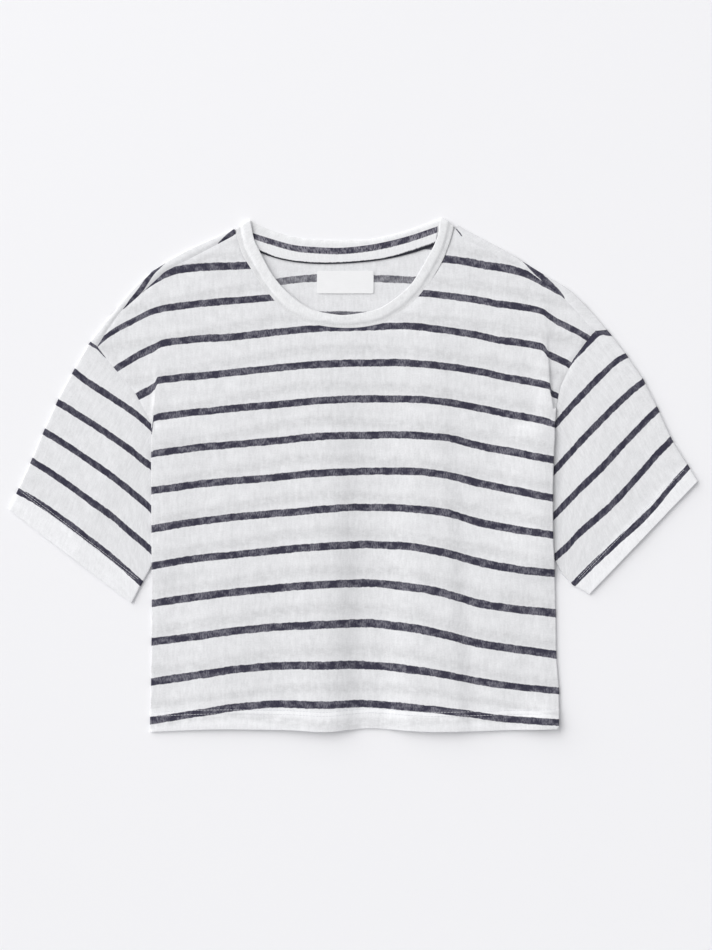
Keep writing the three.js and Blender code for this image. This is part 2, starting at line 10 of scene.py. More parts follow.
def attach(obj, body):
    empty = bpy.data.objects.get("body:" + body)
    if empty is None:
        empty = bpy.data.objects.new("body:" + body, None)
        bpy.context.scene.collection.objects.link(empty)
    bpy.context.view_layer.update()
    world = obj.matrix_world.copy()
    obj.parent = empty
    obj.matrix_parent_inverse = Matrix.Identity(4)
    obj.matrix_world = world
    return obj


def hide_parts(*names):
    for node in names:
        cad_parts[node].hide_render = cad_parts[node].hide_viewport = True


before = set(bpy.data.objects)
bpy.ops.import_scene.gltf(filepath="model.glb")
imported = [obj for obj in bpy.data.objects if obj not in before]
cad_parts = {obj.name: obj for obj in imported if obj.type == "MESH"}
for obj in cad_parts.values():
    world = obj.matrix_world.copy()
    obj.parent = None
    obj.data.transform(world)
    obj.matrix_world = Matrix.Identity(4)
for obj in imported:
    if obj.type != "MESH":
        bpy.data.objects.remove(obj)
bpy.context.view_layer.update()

# ---------------------------------------------------------------------------
# Sizes, in millimetres on the garment's own plan: X across, Y towards the neck,
# Z up from the floor. The plan's middle sits at this place in the frame.
# ---------------------------------------------------------------------------

MM = 0.001
PLAN_MIDDLE = (0.25, -1.55)

JERSEY = 0.6            # thickness of the knitted cloth
NET_STEP = 2.6          # size of a mesh triangle on the body
SLEEVE_STEP = 2.4
FLOOR_LAYER = 0.5       # middle of the lower layer
FOLD_RADIUS = 0.8
UPPER_LAYER = FLOOR_LAYER + 2 * FOLD_RADIUS
CHEST_LAYER = UPPER_LAYER + 0.6
HEM = 20.0              # width of every hem
HEM_BRIGHTER = 0.115    # two layers of cloth let less of the floor's shade through
HEM_SHOWS_MORE = 0.5    # the back's stripe lies close below the front's hem
CREASE_PAINTED_SHADE = 0.17    # painted shade that dims the highlight on the left side fold's pressed crease
GROOVE_PAINTED_SHADE = 0.11    # painted shade on the neckband's sunk part beside its seam
SIDE_SEAM_GAP = 0.15

# Picture millimetres run right and down from the picture's upper left corner.
PICTURE_ORIGIN = (353.5, 476.0)

OUTWARD = {"left": -1, "right": 1}      # sign of X away from the middle, on each side

# ---------------------------------------------------------------------------
# Lines and tables of the pattern, on the plan where they don't say picture millimetres
# ---------------------------------------------------------------------------


def named(columns, row):
    """Row of a table with the names of its columns."""
    return dict(zip(columns, row))


NECK_SEAM = [(-117, 247), (-116.5, 241), (-111.7, 223.2), (-102, 206.3), (-80.5, 175),
             (-67.5, 163.2), (-50.5, 154), (-34, 149), (-6.5, 146.4), (15.5, 148.3),
             (32.5, 153), (48.5, 163), (67.2, 180), (88.5, 214), (98.5, 241), (100.3, 250)]
NECK_EDGE = [(-102.9, 255), (-99, 236), (-93.7, 224.6), (-78.8, 198), (-58.9, 177.3),
             (-40.5, 166), (-17.5, 161.2), (-10.5, 160.7), (5.5, 162.4), (25.5, 167.4),
             (42.5, 178), (57.2, 191.4), (73.8, 218), (83.5, 238), (87, 257.5)]
BACK_NECK_SEAM = [(-117, 247), (-107, 238), (-92, 230.5), (-74.5, 225.5), (-52, 222),
                  (-13.5, 221), (19.5, 222.5), (52.5, 229), (76, 237), (92, 244.5), (100.3, 250)]
BACK_NECK_EDGE = [(-102.9, 255), (-90.5, 249), (-74.5, 243), (-59.5, 239), (-40.5, 236.5),
                  (-13.5, 235.7), (19.5, 237), (52.5, 245), (69.5, 251), (87, 257.5)]
TAPE_TOP = [(-101.5, 243), (-82.5, 237), (-59.5, 230.8), (-33.5, 228.5), (-13.5, 228),
            (19.5, 231.5), (52.5, 239), (84, 249.5)]
TAPE_FOOT = [(-97, 224.5), (-75, 217), (-52, 213), (-18.5, 212), (28, 216), (61, 223.5), (82, 231)]

# Shoulders of the back, from the neck outwards. Each row is a point of the fold and the
# point of the seam that faces it: fold_x, fold_y, seam_x, seam_y.
SHOULDERS = {
    "left": [(-119, 247, -117.6, 241.2), (-141.6, 236.9, -138.5, 230), (-167.6, 224.8, -163.5, 217),
             (-192.7, 210.6, -188.5, 204), (-208, 199, -201.5, 192), (-221.9, 184.9, -215.5, 179),
             (-236.7, 167.5, -232.5, 164), (-250.8, 150, -245.5, 146), (-263, 134.5, -256, 129.5)],
    "right": [(104.5, 250.5, 102.6, 246), (113, 245.6, 109, 238), (130.4, 236.3, 126.5, 229),
              (151.8, 225, 147.5, 217), (176.3, 209.9, 173.5, 205.5), (194, 199, 190.5, 193),
              (213.5, 187.6, 208.5, 179), (231.1, 171.3, 223.5, 163.5), (243.9, 157.2, 235.5, 150),
              (253.5, 146, 243, 145.2)],
}

SLEEVES = {
    "left": {
        "outer_fold": [(-263, 134.5), (-279.5, 106), (-296.5, 74), (-310, 44), (-322.5, 14.3), (-344, -33)],
        "under_fold": [(-191.5, -72), (-203, -92.6), (-213.5, -111), (-221.5, -127)],
        "front_seam": [(-263, 134.5), (-256, 129.5), (-246.5, 117), (-237.5, 106), (-219.5, 85.5),
                       (-206.5, 62), (-200.5, 52), (-196.5, 6), (-192.5, -34), (-191.5, -72)],
        "back_seam": [(-263, 134.5), (-252.5, 120), (-243.5, 108), (-227.5, 88), (-212.5, 62),
                      (-203.5, 40), (-196.5, 6), (-192.5, -34), (-191.5, -72)],
    },
    "right": {
        "outer_fold": [(253.5, 146), (271.2, 123), (289, 97), (304.2, 66.9), (317.7, 36.7), (343.5, -5)],
        "under_fold": [(192.5, -67), (202, -85), (208.5, -98), (219.5, -109), (235.5, -118)],
        "front_seam": [(253.5, 146), (243.2, 145.9), (238.2, 141.6), (231.9, 133.4), (219.4, 116.5),
                       (206.5, 90), (202, 68), (201, 54), (196.5, 26), (193.5, -24), (192.5, -67)],
        "back_seam": [(253.5, 146), (246, 137), (235, 123), (222, 106), (210, 84),
                      (204, 60), (198, 26), (193.5, -24), (192.5, -67)],
    },
}

# Edges of the front from the shoulder to the hem: place, degrees that the edge is turned
# under through, and height of the cloth at the edge
EDGE_COLUMNS = ("x", "y", "turn", "rim")
FRONT_EDGES = {
    "left": [(-120.5, 239.7, 0, 2.1), (-129, 235.1, 0, 2.1), (-138.5, 230, 0, 2.1), (-163.5, 217, 0, 2.1),
             (-188.5, 204, 0, 2.1), (-201.5, 192, 0, 2.1), (-215.5, 179, 0, 2.1), (-232.5, 164, 0, 2.1),
             (-245.5, 146, 0, 2.1), (-256, 129.5, 0, 2.1), (-246.5, 117, 0, 2.1), (-237.5, 106, 0, 2.1),
             (-219.5, 85.5, 0, 2.2), (-206.5, 62, 0, 2.6), (-201.5, 52, 20, 4.0), (-201.6, 47, 60, 5.2),
             (-201.7, 42, 120, 5.4), (-201.8, 37, 180, 5.0), (-202, 20, 180, 4.7), (-201.5, -92, 180, 4.7),
             (-201.5, -114, 180, 2.1), (-201.7, -139, 180, 2.1), (-202, -182, 180, 2.1),
             (-202.5, -216, 180, 2.1), (-203, -235, 180, 2.4), (-203, -255.5, 180, 2.4)],
    "right": [(102.6, 246, 0, 2.1), (109, 238, 0, 2.1), (126.5, 229, 0, 2.1), (147.5, 217, 0, 2.1),
              (173.5, 205.5, 0, 2.1), (190.5, 193, 0, 2.1), (208.5, 179, 0, 2.1), (223.5, 163.5, 0, 2.1),
              (235.5, 150, 0, 2.1), (242.4, 145.3, 0, 2.1), (238.2, 141.6, 0, 2.1), (231.9, 133.4, 0, 2.1),
              (219.4, 116.5, 0, 2.1), (206.5, 90, 0, 2.2), (202, 68, 0, 2.6), (201.2, 54, 20, 4.0),
              (201.3, 49, 60, 5.2), (201.3, 44, 120, 5.8), (201.1, 39, 180, 5.9), (200.2, 24, 180, 6.0),
              (199.4, 5, 180, 6.1), (199.0, -34, 180, 6.1), (199.4, -66, 180, 6.0), (200.6, -86, 180, 5.8),
              (201.5, -110, 180, 2.5), (202.3, -139, 180, 2.3), (202.8, -180, 180, 2.3),
              (205.6, -214, 180, 2.5), (205.2, -235, 180, 4.2), (204.7, -252.5, 180, 6.4)],
}
BACK_HEM_Y = -253.0
BACK_SIDES = {
    "left": [(-190.9, -74), (-192.5, -114), (-194.5, -182), (-195.5, BACK_HEM_Y)],
    "right": [(191.9, -69), (192.5, -114), (195, -180), (198, BACK_HEM_Y)],
}
# Seams that the turned-under edges of the front reach
UNDER_SEAMS = {
    "left": [(-198.8, 37), (-198, 20), (-192.5, -34)] + BACK_SIDES["left"],
    "right": [(198.2, 39), (197, 24), (193.5, -24)] + BACK_SIDES["right"],
}

# Front hem: x, rise of its edge line above the straight line between its corners, and how
# far it stands off what is below it
FRONT_HEM = [(-203, 0, 0.2), (-133, 2.2, 0.3), (-90, 1.6, 0.8), (-64, 1.0, 1.6), (-28, -0.8, 2.5),
             (-4, 0.8, 1.9), (16, 2.0, 0.7), (36, 0.9, 0.7), (55, -0.5, 1.4), (86, -1.7, 2.2),
             (122, -1.5, 2.2), (145, -0.9, 0.9), (166, -0.4, 0.6), (190, -0.1, 1.2), (206, 0, 2.0)]
HEM_X, HEM_WAVE, HEM_LIFT = zip(*FRONT_HEM)

# Long soft folds of the front. Each is a line down the cloth across which it rises or
# falls, from left to right, by a height that grows from its top to its foot.
FOLD_COLUMNS = ("top_x", "top_y", "foot_x", "foot_y", "half_width", "top_rise", "foot_rise")
FRONT_FOLDS = [named(FOLD_COLUMNS, row) for row in (
    (-197, 60, -197, -256, 7, 0.2, 0.3),
    (-148, 90, -156, -200, 16, 0.3, 1.3),
    (-152, -120, -155, -250, 18, 0.0, -1.2),
    (-90, 60, -95, -256, 16, -0.3, -0.5),
    (-62, 40, -52, -256, 16, 0.2, 1.7),
    (-7, 150, -6, -100, 15, -0.3, -5.3),
    (56, 150, 40, -240, 16, 0.8, 4.4),
    (90, 120, 112, -240, 8, -0.8, -2.8),
    (128, 60, 126, -256, 16, 0.3, 0.7),
    (180, 170, 180, -256, 12, 0.2, 0.8),
    (194, 150, 195.5, -256, 6, -1.1, -0.4),
)]
FOLD_FADE = 50.0        # length over which a fold begins above its top
# Pleats above the armpits, where the folds of the sides run out towards the shoulders
PLEATS = {
    "left": [(-198, 128, 0.0), (-197.5, 110, 0.2), (-196.5, 96, 0.5), (-197.2, 86, 0.9), (-198.5, 72, 1.2),
             (-200, 60, 1.0), (-200.6, 52, 0.4), (-200.8, 45, 0.0)],
    "right": [(191, 145, 0.0), (192.6, 129, 0.7), (194, 116, 1.4), (195.3, 95, 2.5), (197, 79, 3.0),
              (199, 66, 2.8), (200.6, 54, 1.2), (201, 47, 0.0)],
}
PLEAT_WIDTH = {"left": (2.6, 12.0), "right": (1.6, 12.0)}     # outwards, inwards

# Middle lines of the navy stripes, in picture millimetres, from the top down
FRONT_STRIPES = [
    [(140, 292), (152, 283), (159, 278.5), (166, 274.5), (180, 270), (195, 268.5), (220, 267), (250, 266),
     (440, 259.5), (453, 260.2), (468, 262.7), (483, 265.6), (500, 268), (518, 272), (527, 275.2),
     (535.5, 279.5), (540, 282.2), (560, 293)],
    [(85, 356), (95, 346), (107, 335.5), (119, 327.5), (131, 321.5), (143, 315.5), (150, 312.5), (160, 309.5),
     (200, 304), (240, 300.5), (280, 297), (420, 293.5), (440, 295.3), (480, 301), (500, 304.5), (520, 307),
     (535, 309.5), (543, 312), (550, 317), (556, 321), (566, 326), (578, 332), (589, 338.5), (600, 345)],
    [(109, 374.5), (117, 368.5), (130, 360.5), (141, 354), (150, 349.8), (156, 347), (160, 344.8),
     (164, 343), (200, 339), (240, 336.5), (280, 332), (320, 328.5), (360, 327.5), (400, 326), (440, 329.5),
     (480, 336), (500, 340.5), (520, 343), (535, 345.5), (541, 347), (545, 350.5), (547, 354), (553, 357),
     (563, 361.5), (570, 365.5), (580, 371)],
    [(125, 404), (138.5, 396), (150, 390), (155, 387), (158, 381), (175, 378.5), (200, 376), (220, 374.5),
     (240, 372), (280, 368), (320, 364.5), (360, 363), (400, 363), (440, 366), (480, 372), (500, 376.5),
     (520, 380), (535, 383), (549, 386.6), (550.8, 393.6), (557, 396.5), (566, 401)],
    [(140, 441), (150, 434), (152.7, 431.5), (154, 418.2), (160, 417), (200, 412), (240, 408),
     (280, 404.5), (320, 401), (360, 399), (400, 399), (440, 401.5), (480, 408.5), (500, 412.5),
     (520, 416.3), (540, 420.3), (554, 424)],
]
LOWER_STATIONS = (160, 200, 240, 280, 320, 360, 400, 440, 480, 520, 540)
LOWER_FRONT_STRIPES = [
    (453, 447.5, 444, 440.5, 436.5, 435.5, 435, 437, 446, 453.5, 457.5),
    (489.5, 484, 480.5, 477, 473, 471.5, 471, 474, 483.5, 491.5, 495.5),
    (527.5, 521, 516.5, 513, 509.5, 507, 508, 511.5, 522.5, 530, 533),
    (564.5, 558, 554, 550, 546.5, 544.5, 545.5, 551.5, 562, 569.5, 571.5),
    (602, 596, 591.5, 587.5, 584.5, 583, 585.5, 592, 603.5, 609.5, 611.5),
    (640.5, 635.5, 630, 626.5, 624.5, 623, 626, 633.5, 643.5, 649.5, 652.5),
    (680.5, 674.5, 668.5, 665.5, 665, 665, 668, 673.5, 681.5, 687, 689),
    (719, 712.5, 706.5, 703.5, 704.5, 703.5, 706, 709.5, 715, 719.5, 720.5),
]
BACK_STATIONS = (155, 230, 320, 380, 485, 550)
BACK_STRIPES = [
    (270, 256, 243, 243, 254, 266), (305, 291, 278, 278.7, 287, 300), (341, 329, 315, 315.8, 326, 337),
    (377, 363, 349.5, 349.5, 361.5, 374), (413, 400, 386, 387, 399.5, 411), (448, 435.5, 420.5, 423, 435, 448),
    (484, 471, 459, 461, 474, 487), (521, 508.5, 495, 498, 509.5, 523), (556, 544, 532, 534, 550.5, 563),
    (594, 582, 570, 570, 594, 604), (631, 619.5, 607.5, 609, 633, 643), (671, 661.5, 650, 651, 672.5, 683),
    (706, 696, 687, 687, 702, 712), (722, 714, 723, 723, 717, 727),
]
SLEEVE_STRIPES = {
    "left": [
        [(60, 321), (85, 338), (97, 345.5), (107, 355.5), (119, 364)],
        [(73.5, 371), (90, 383.5), (110, 396.5), (130, 409.5), (145, 421.5), (152, 428.5)],
        [(57.4, 402), (70, 410), (90, 422), (110, 435.5), (130, 449.5), (145, 461.5), (151, 466)],
        [(43.6, 431), (50, 435), (70, 447), (90, 461), (110, 474.5), (130, 490.5), (145, 503), (149, 507)],
        [(31, 460), (50, 472), (70, 485.5), (90, 500.5), (110, 514.5), (130, 531.5), (145, 544.5), (149, 548)],
        [(17, 490.5), (30, 497.5), (50, 510), (70, 524.5), (90, 540), (110, 555.5), (130, 573), (141.5, 583.5)],
    ],
    "right": [
        [(560, 378), (573.6, 357), (585.4, 345), (592.7, 338), (597, 333.3), (602, 331), (607, 332),
         (615, 335)],
        [(554.8, 425), (566, 412), (580, 397), (600, 376.5), (620, 357.5), (624.7, 355.4)],
        [(554.7, 470), (566, 457.5), (580, 442), (600, 421), (620, 401), (641.3, 382.7)],
        [(553.5, 516), (566, 503), (580, 488.5), (600, 469), (620, 447.5), (640, 426), (656.7, 410)],
        [(556, 556), (566, 547.5), (580, 532), (600, 515.5), (620, 496), (640, 473.5), (655, 456),
         (671, 439.6)],
        [(573.7, 584), (580, 577.5), (600, 558), (620, 539.5), (640, 521.5), (655, 506), (670, 487.5),
         (688, 467)],
    ],
}
# Stripes of the back that come over the shoulders: picture place and half width
SHOULDER_STRIPES = {
    "left": [[(237, 231, 3.2), (226, 238.5, 2.2), (216.5, 245, 0.15)],
             [(167, 263, 0.2), (154.5, 272, 1.5), (148, 279.7, 2.4), (141, 290, 2.6), (132, 300.5, 2.0),
              (122, 311, 0.2)]],
    "right": [[(455.5, 229.5, 1.5), (459, 233.5, 1.3), (463.6, 238.5, 0.15)],
              [(518, 257.5, 0.2), (528, 265, 2.0), (537, 273, 2.6), (546.5, 281.8, 2.8), (557.5, 292, 2.4),
               (563, 297.5, 1.2), (566.3, 301.5, 0.2)]],
}
STRIPE_PITCH = 36.0
# Distance from each piece's first stripe to the one above it
ABOVE_FIRST = {"front": 42, "back": 36, "sleeve": 60}

LABEL = {"x": -8.2, "y": 193.7, "width": 56.6, "height": 22.6, "corner": 1.2, "layer": 1.34}
TAPE_LAYER = 1.45


# ---------------------------------------------------------------------------
# Small helpers
# ---------------------------------------------------------------------------

def mix(a, b, t):
    return a + (b - a) * t


def clamp(value, low=0.0, high=1.0):
    return min(high, max(low, value))


def soft_step(low, high, value):
    """Smooth rise from 0 at low to 1 at high, or a fall where low is the larger."""
    t = clamp((value - low) / (high - low))
    return t * t * (3 - 2 * t)


def placed(x, y, z):
    """Point of the garment's plan in the frame, in metres."""
    return ((x + PLAN_MIDDLE[0]) * MM, (y + PLAN_MIDDLE[1]) * MM, z * MM)


def to_picture(x, y):
    return x + PICTURE_ORIGIN[0], PICTURE_ORIGIN[1] - y


def from_picture(x, y):
    return x - PICTURE_ORIGIN[0], PICTURE_ORIGIN[1] - y


def span_of(keys, key):
    """Number of the stretch of a rising or falling list that a key lies in."""
    rising = keys[-1] > keys[0]
    i = 1
    while i < len(keys) - 1 and (keys[i] < key) == rising:
        i += 1
    return i


def straight_at(keys, values, key):
    i = span_of(keys, key)
    t = clamp((key - keys[i - 1]) / (keys[i] - keys[i - 1]))
    return mix(values[i - 1], values[i], t)


def smooth_at(keys, values, key):
    """Value of a smooth curve through a table, which never swings past its points."""
    i = span_of(keys, key)

    def rate(j):
        return (values[j] - values[j - 1]) / (keys[j] - keys[j - 1])

    def bend(j):
        if j == 0:
            return rate(1)
        if j == len(keys) - 1:
            return rate(j)
        before, after = rate(j), rate(j + 1)
        return 0.0 if before * after <= 0 else 2 * before * after / (before + after)

    rising = keys[-1] > keys[0]
    if key != keys[0] and (key < keys[0]) == rising:
        return values[0] + (key - keys[0]) * rate(1)
    if key != keys[-1] and (key > keys[-1]) == rising:
        return values[-1] + (key - keys[-1]) * rate(len(keys) - 1)
    width = keys[i] - keys[i - 1]
    t = (key - keys[i - 1]) / width
    a, b = t * t * (3 - 2 * t), t * (1 - t)
    return mix(values[i - 1], values[i], a) + b * width * ((1 - t) * bend(i - 1) - t * bend(i))


def line_length(points):
    return sum(math.dist(a, b) for a, b in zip(points, points[1:]))


def along(points, fraction):
    """Point at a fraction of the length of a line of straight stretches."""
    left = fraction * line_length(points)
    for a, b in zip(points, points[1:]):
        length = math.dist(a, b)
        if left <= length or b is points[-1]:
            t = min(1.0, left / length) if length else 0.0
            return tuple(mix(p, q, t) for p, q in zip(a, b))
        left -= length
    return tuple(points[-1])


def even_line(points, step):
    """The same line with points at even steps."""
    count = max(1, round(line_length(points) / step))
    stops = [line_length(points) * k / count for k in range(count + 1)]
    result, travelled, i = [], 0.0, 0
    for stop in stops:
        while i < len(points) - 2 and travelled + math.dist(points[i], points[i + 1]) < stop:
            travelled += math.dist(points[i], points[i + 1])
            i += 1
        length = math.dist(points[i], points[i + 1])
        t = min(1.0, (stop - travelled) / length)
        result.append(tuple(mix(p, q, t) for p, q in zip(points[i], points[i + 1])))
    return result


def smooth_line(points, step):
    """Even points of a smooth curve through the given points."""
    first = tuple(2 * a - b for a, b in zip(points[0], points[1]))
    last = tuple(2 * a - b for a, b in zip(points[-1], points[-2]))
    chain = [first] + list(points) + [last]
    dense = []
    for a, b, c, d in zip(chain, chain[1:], chain[2:], chain[3:]):
        knots = [0.0]
        for p, q in ((a, b), (b, c), (c, d)):
            knots.append(knots[-1] + math.sqrt(math.dist(p, q)))
        t0, t1, t2, t3 = knots
        for k in range(12):
            t = mix(t1, t2, k / 12)
            place = []
            for pa, pb, pc, pd in zip(a, b, c, d):
                ab = mix(pa, pb, (t - t0) / (t1 - t0))
                bc = mix(pb, pc, (t - t1) / (t2 - t1))
                cd = mix(pc, pd, (t - t2) / (t3 - t2))
                abc = mix(ab, bc, (t - t0) / (t2 - t0))
                bcd = mix(bc, cd, (t - t1) / (t3 - t1))
                place.append(mix(abc, bcd, (t - t1) / (t2 - t1)))
            dense.append(tuple(place))
    dense.append(tuple(points[-1]))
    return even_line(dense, step)


def ripple(x, y, size, layer):
    """Even, repeatable unevenness between about -1 and 1."""
    return noise.noise(Vector((x / size, y / size, layer)))


def put(name, data):
    """New object in the scene."""
    item = bpy.data.objects.new(name, data)
    bpy.context.scene.collection.objects.link(item)
    return item


def tree_of(points):
    tree = KDTree(len(points))
    for i, (x, y) in enumerate(points):
        tree.insert((x, y, 0.0), i)
    tree.balance()
    return tree


def gap_to(tree, x, y):
    return tree.find((x, y, 0.0))[2]


# ---------------------------------------------------------------------------
# Stripes
# ---------------------------------------------------------------------------

def stripe_table(lines, first_pitch):
    """Stripes as lists of keys and values, with one more above the first."""
    table = [([x for x, _ in line], [y for _, y in line]) for line in lines]
    keys, values = table[0]
    return [(keys, [y - first_pitch for y in values])] + table


def stripe_value(table, x, y):
    """Place across the stripes: a whole number in the middle of each stripe."""
    x, y = to_picture(x, y)
    above = smooth_at(*table[0], x)
    if y < above:
        return (y - above) / STRIPE_PITCH
    for k in range(1, len(table)):
        below = smooth_at(*table[k], x)
        if y < below:
            return k - 1 + (y - above) / (below - above)
        above = below
    return len(table) - 1 + (y - above) / STRIPE_PITCH


front_stripes = stripe_table(
    FRONT_STRIPES + [list(zip(LOWER_STATIONS, row)) for row in LOWER_FRONT_STRIPES], ABOVE_FIRST["front"])
back_stripes = stripe_table([list(zip(BACK_STATIONS, row)) for row in BACK_STRIPES], ABOVE_FIRST["back"])
sleeve_stripes = {side: stripe_table(lines, ABOVE_FIRST["sleeve"]) for side, lines in SLEEVE_STRIPES.items()}


STRIPE_HALF = 0.1        # half of a navy stripe, as a share of the pitch


def shoulder_stripe_value(side, x, y):
    """The same for the slanting ends of stripes on a shoulder."""
    x, y = to_picture(x, y)
    best = 0.5
    for line in SHOULDER_STRIPES[side]:
        for (ax, ay, aw), (bx, by, bw) in zip(line, line[1:]):
            dx, dy = bx - ax, by - ay
            t = clamp(((x - ax) * dx + (y - ay) * dy) / (dx * dx + dy * dy))
            gap = math.hypot(x - ax - t * dx, y - ay - t * dy)
            best = min(best, STRIPE_HALF * gap / mix(aw, bw, t))
    return best


# ---------------------------------------------------------------------------
# Cloth meshes
# ---------------------------------------------------------------------------

def crossings(outline, y):
    """X of each place where a level line crosses a closed outline."""
    places = []
    for (x0, y0), (x1, y1) in zip(outline, outline[1:] + outline[:1]):
        if (y0 <= y) != (y1 <= y):
            places.append(x0 + (y - y0) / (y1 - y0) * (x1 - x0))
    return sorted(places)


def within(places, x, margin):
    return any(a + margin < x < b - margin for a, b in zip(places[::2], places[1::2]))


INSIDE_ONLY = 1          # what the triangulation gives back
SAME_POINT = 1e-4


def net(outline, step, own=(), cleared=None):
    """Even net of triangles inside an outline. Its own points are closer where the cloth
    bends, and the even ones are left out where they are cleared. Gives the points, the
    triangles, and the number that each point of the outline has."""
    rise = step * math.sqrt(0.75)
    margin = 0.45 * step
    low = min(y for _, y in outline)
    high = max(y for _, y in outline)
    left = min(x for x, _ in outline)
    points = [Vector(p) for p in outline]
    row = 1
    while low + row * rise < high:
        y = low + row * rise
        levels = [crossings(outline, y + shift) for shift in (-margin, 0, margin)]
        for a, b in zip(levels[1][::2], levels[1][1::2]):
            column = math.ceil((a - left) / step)
            while True:
                x = left + (column + 0.5 * (row % 2)) * step
                column += 1
                if x > b:
                    break
                inside = all(within(level, x, margin) for level in levels)
                if inside and not (cleared and cleared(x, y)):
                    points.append(Vector((x, y)))
        row += 1
    points += [Vector(p) for p in own]
    ring = list(range(len(outline)))
    flat, _, faces, sources, _, _ = delaunay_2d_cdt(points, [], [ring], INSIDE_ONLY, SAME_POINT)
    number = {j: i for i, given in enumerate(sources) for j in given}
    return [tuple(p) for p in flat], [tuple(f) for f in faces], [number[i] for i in ring]


def grid_faces(rows, columns, closed_rows=False, closed_columns=False):
    """Faces of four corners between rows of points."""
    faces = []
    for i in range(rows if closed_rows else rows - 1):
        for j in range(columns if closed_columns else columns - 1):
            a, b = i * columns + j, i * columns + (j + 1) % columns
            c, d = ((i + 1) % rows) * columns + (j + 1) % columns, ((i + 1) % rows) * columns + j
            faces.append((a, b, c, d))
    return faces


def sharpen_cut_edges(mesh):
    """Keeps the shading of the cloth's face apart from that of its cut edge."""
    uses = {}
    for polygon in mesh.polygons:
        for key in polygon.edge_keys:
            uses[key] = uses.get(key, 0) + 1
    for edge in mesh.edges:
        edge.use_edge_sharp = uses.get(edge.key, 0) == 1


def cloth_object(name, points, faces, maps, material, thickness=None, double=None):
    """Piece of cloth from points on the garment's plan. maps holds, for each named UV map,
    one place for each point. double holds the share of the thickness at each point."""
    mesh = bpy.data.meshes.new(name)
    mesh.from_pydata([placed(*p) for p in points], [], faces)
    for map_name, values in maps.items():
        layer = mesh.uv_layers.new(name=map_name)
        for loop in mesh.loops:
            layer.data[loop.index].uv = values[loop.vertex_index]
    mesh.polygons.foreach_set("use_smooth", [True] * len(mesh.polygons))
    mesh.materials.append(material)
    mesh.validate()
    piece = put(name, mesh)
    if thickness:
        sharpen_cut_edges(mesh)
        shell = piece.modifiers.new("cloth wall", "SOLIDIFY")
        shell.thickness = thickness * MM
        shell.offset = 0
        shell.use_even_offset = True
        if double:
            group = piece.vertex_groups.new(name="hem")
            for i, share in enumerate(double):
                group.add([i], share, "REPLACE")
            shell.vertex_group = "hem"
    return piece


# ---------------------------------------------------------------------------
# Materials
# ---------------------------------------------------------------------------

class Finish:
    """Node material built step by step."""

    def __init__(self, name, roughness, sheen, specular=0.25):
        self.material = bpy.data.materials.new(name)
        self.material.use_nodes = True
        self.tree = self.material.node_tree
        self.surface = self.tree.nodes["Principled BSDF"]
        self.surface.inputs["Roughness"].default_value = roughness
        self.surface.inputs["Specular IOR Level"].default_value = specular
        self.surface.inputs["Sheen Weight"].default_value = sheen
        self.surface.inputs["Sheen Roughness"].default_value = 0.5

    def node(self, kind, inputs=(), **settings):
        node = self.tree.nodes.new(kind)
        for key, value in settings.items():
            setattr(node, key, value)
        for key, value in dict(inputs).items():
            if isinstance(value, bpy.types.NodeSocket):
                self.tree.links.new(value, node.inputs[key])
            else:
                node.inputs[key].default_value = value
        return node

    def math(self, operation, *values):
        return self.node("ShaderNodeMath", enumerate(values), operation=operation).outputs[0]

    def total(self, *values):
        result = values[0]
        for value in values[1:]:
            result = self.math("ADD", result, value)
        return result

    def less(self, value, taken):
        return self.math("SUBTRACT", value, taken)

    def times(self, first, second):
        return self.math("MULTIPLY", first, second)

    def fade(self, value, low, high, start=0.0, end=1.0):
        """Value turned into a smooth passage from start at low to end at high."""
        inputs = {"Value": value, "From Min": low, "From Max": high, "To Min": start, "To Max": end}
        return self.node("ShaderNodeMapRange", inputs, interpolation_type="SMOOTHSTEP").outputs[0]

    def blend(self, share, first, second):
        inputs = {0: share, 6: first, 7: second}
        return self.node("ShaderNodeMix", inputs, data_type="RGBA").outputs[2]

    def shade(self, colour, factor):
        """Colour made darker or lighter by a factor near one."""
        grey = self.node("ShaderNodeCombineColor", {0: factor, 1: factor, 2: factor}).outputs[0]
        return self.node("ShaderNodeMix", {0: 1.0, 6: colour, 7: grey}, data_type="RGBA",
                         blend_type="MULTIPLY").outputs[2]

    def uv(self, name):
        return self.node("ShaderNodeUVMap", uv_map=name).outputs[0]

    def parts(self, vector):
        return self.node("ShaderNodeSeparateXYZ", {0: vector}).outputs

    def unevenness(self, across, down, layer, detail=2.0):
        """Noise with blotches of the given size in millimetres of cloth. Each layer is
        another place of the noise, so that no two patterns match."""
        scale = (1 / (across * MM), 1 / (down * MM), 1.0)
        stretched = self.node("ShaderNodeMapping", {"Vector": self.uv("yarn"), "Scale": scale,
                                                    "Location": (7.3 * layer, 3.1 * layer, layer)})
        return self.node("ShaderNodeTexNoise", {"Vector": stretched.outputs[0], "Scale": 1.0,
                                                "Detail": detail}).outputs[0]

    def swing(self, value, amount):
        """Noise value turned into a swing of about plus or minus the amount."""
        return self.times(self.less(value, 0.5), 2 * amount)

    def finish(self, colour, height, depth, strength):
        bump = self.node("ShaderNodeBump", {"Height": height, "Distance": depth * MM, "Strength": strength})
        self.tree.links.new(colour, self.surface.inputs["Base Color"])
        self.tree.links.new(bump.outputs[0], self.surface.inputs["Normal"])
        return self.material


NAVY_DEEP = (0.031, 0.029, 0.052, 1)
NAVY_WORN = (0.180, 0.177, 0.212, 1)
NAVY_TAPE_WORN = (0.236, 0.230, 0.268, 1)
OFF_WHITE = (0.761, 0.764, 0.783, 1)
RIB_WHITE = (0.812, 0.816, 0.831, 1)
TAPE_WHITE = (0.818, 0.820, 0.837, 1)
TAPE_FOOT_DARK = (0.022, 0.022, 0.032, 1)
LABEL_WHITE = (0.856, 0.859, 0.872, 1)
THREAD_WHITE = (0.64, 0.645, 0.68, 1)
FLOOR_PALE = (0.888, 0.887, 0.910, 1)


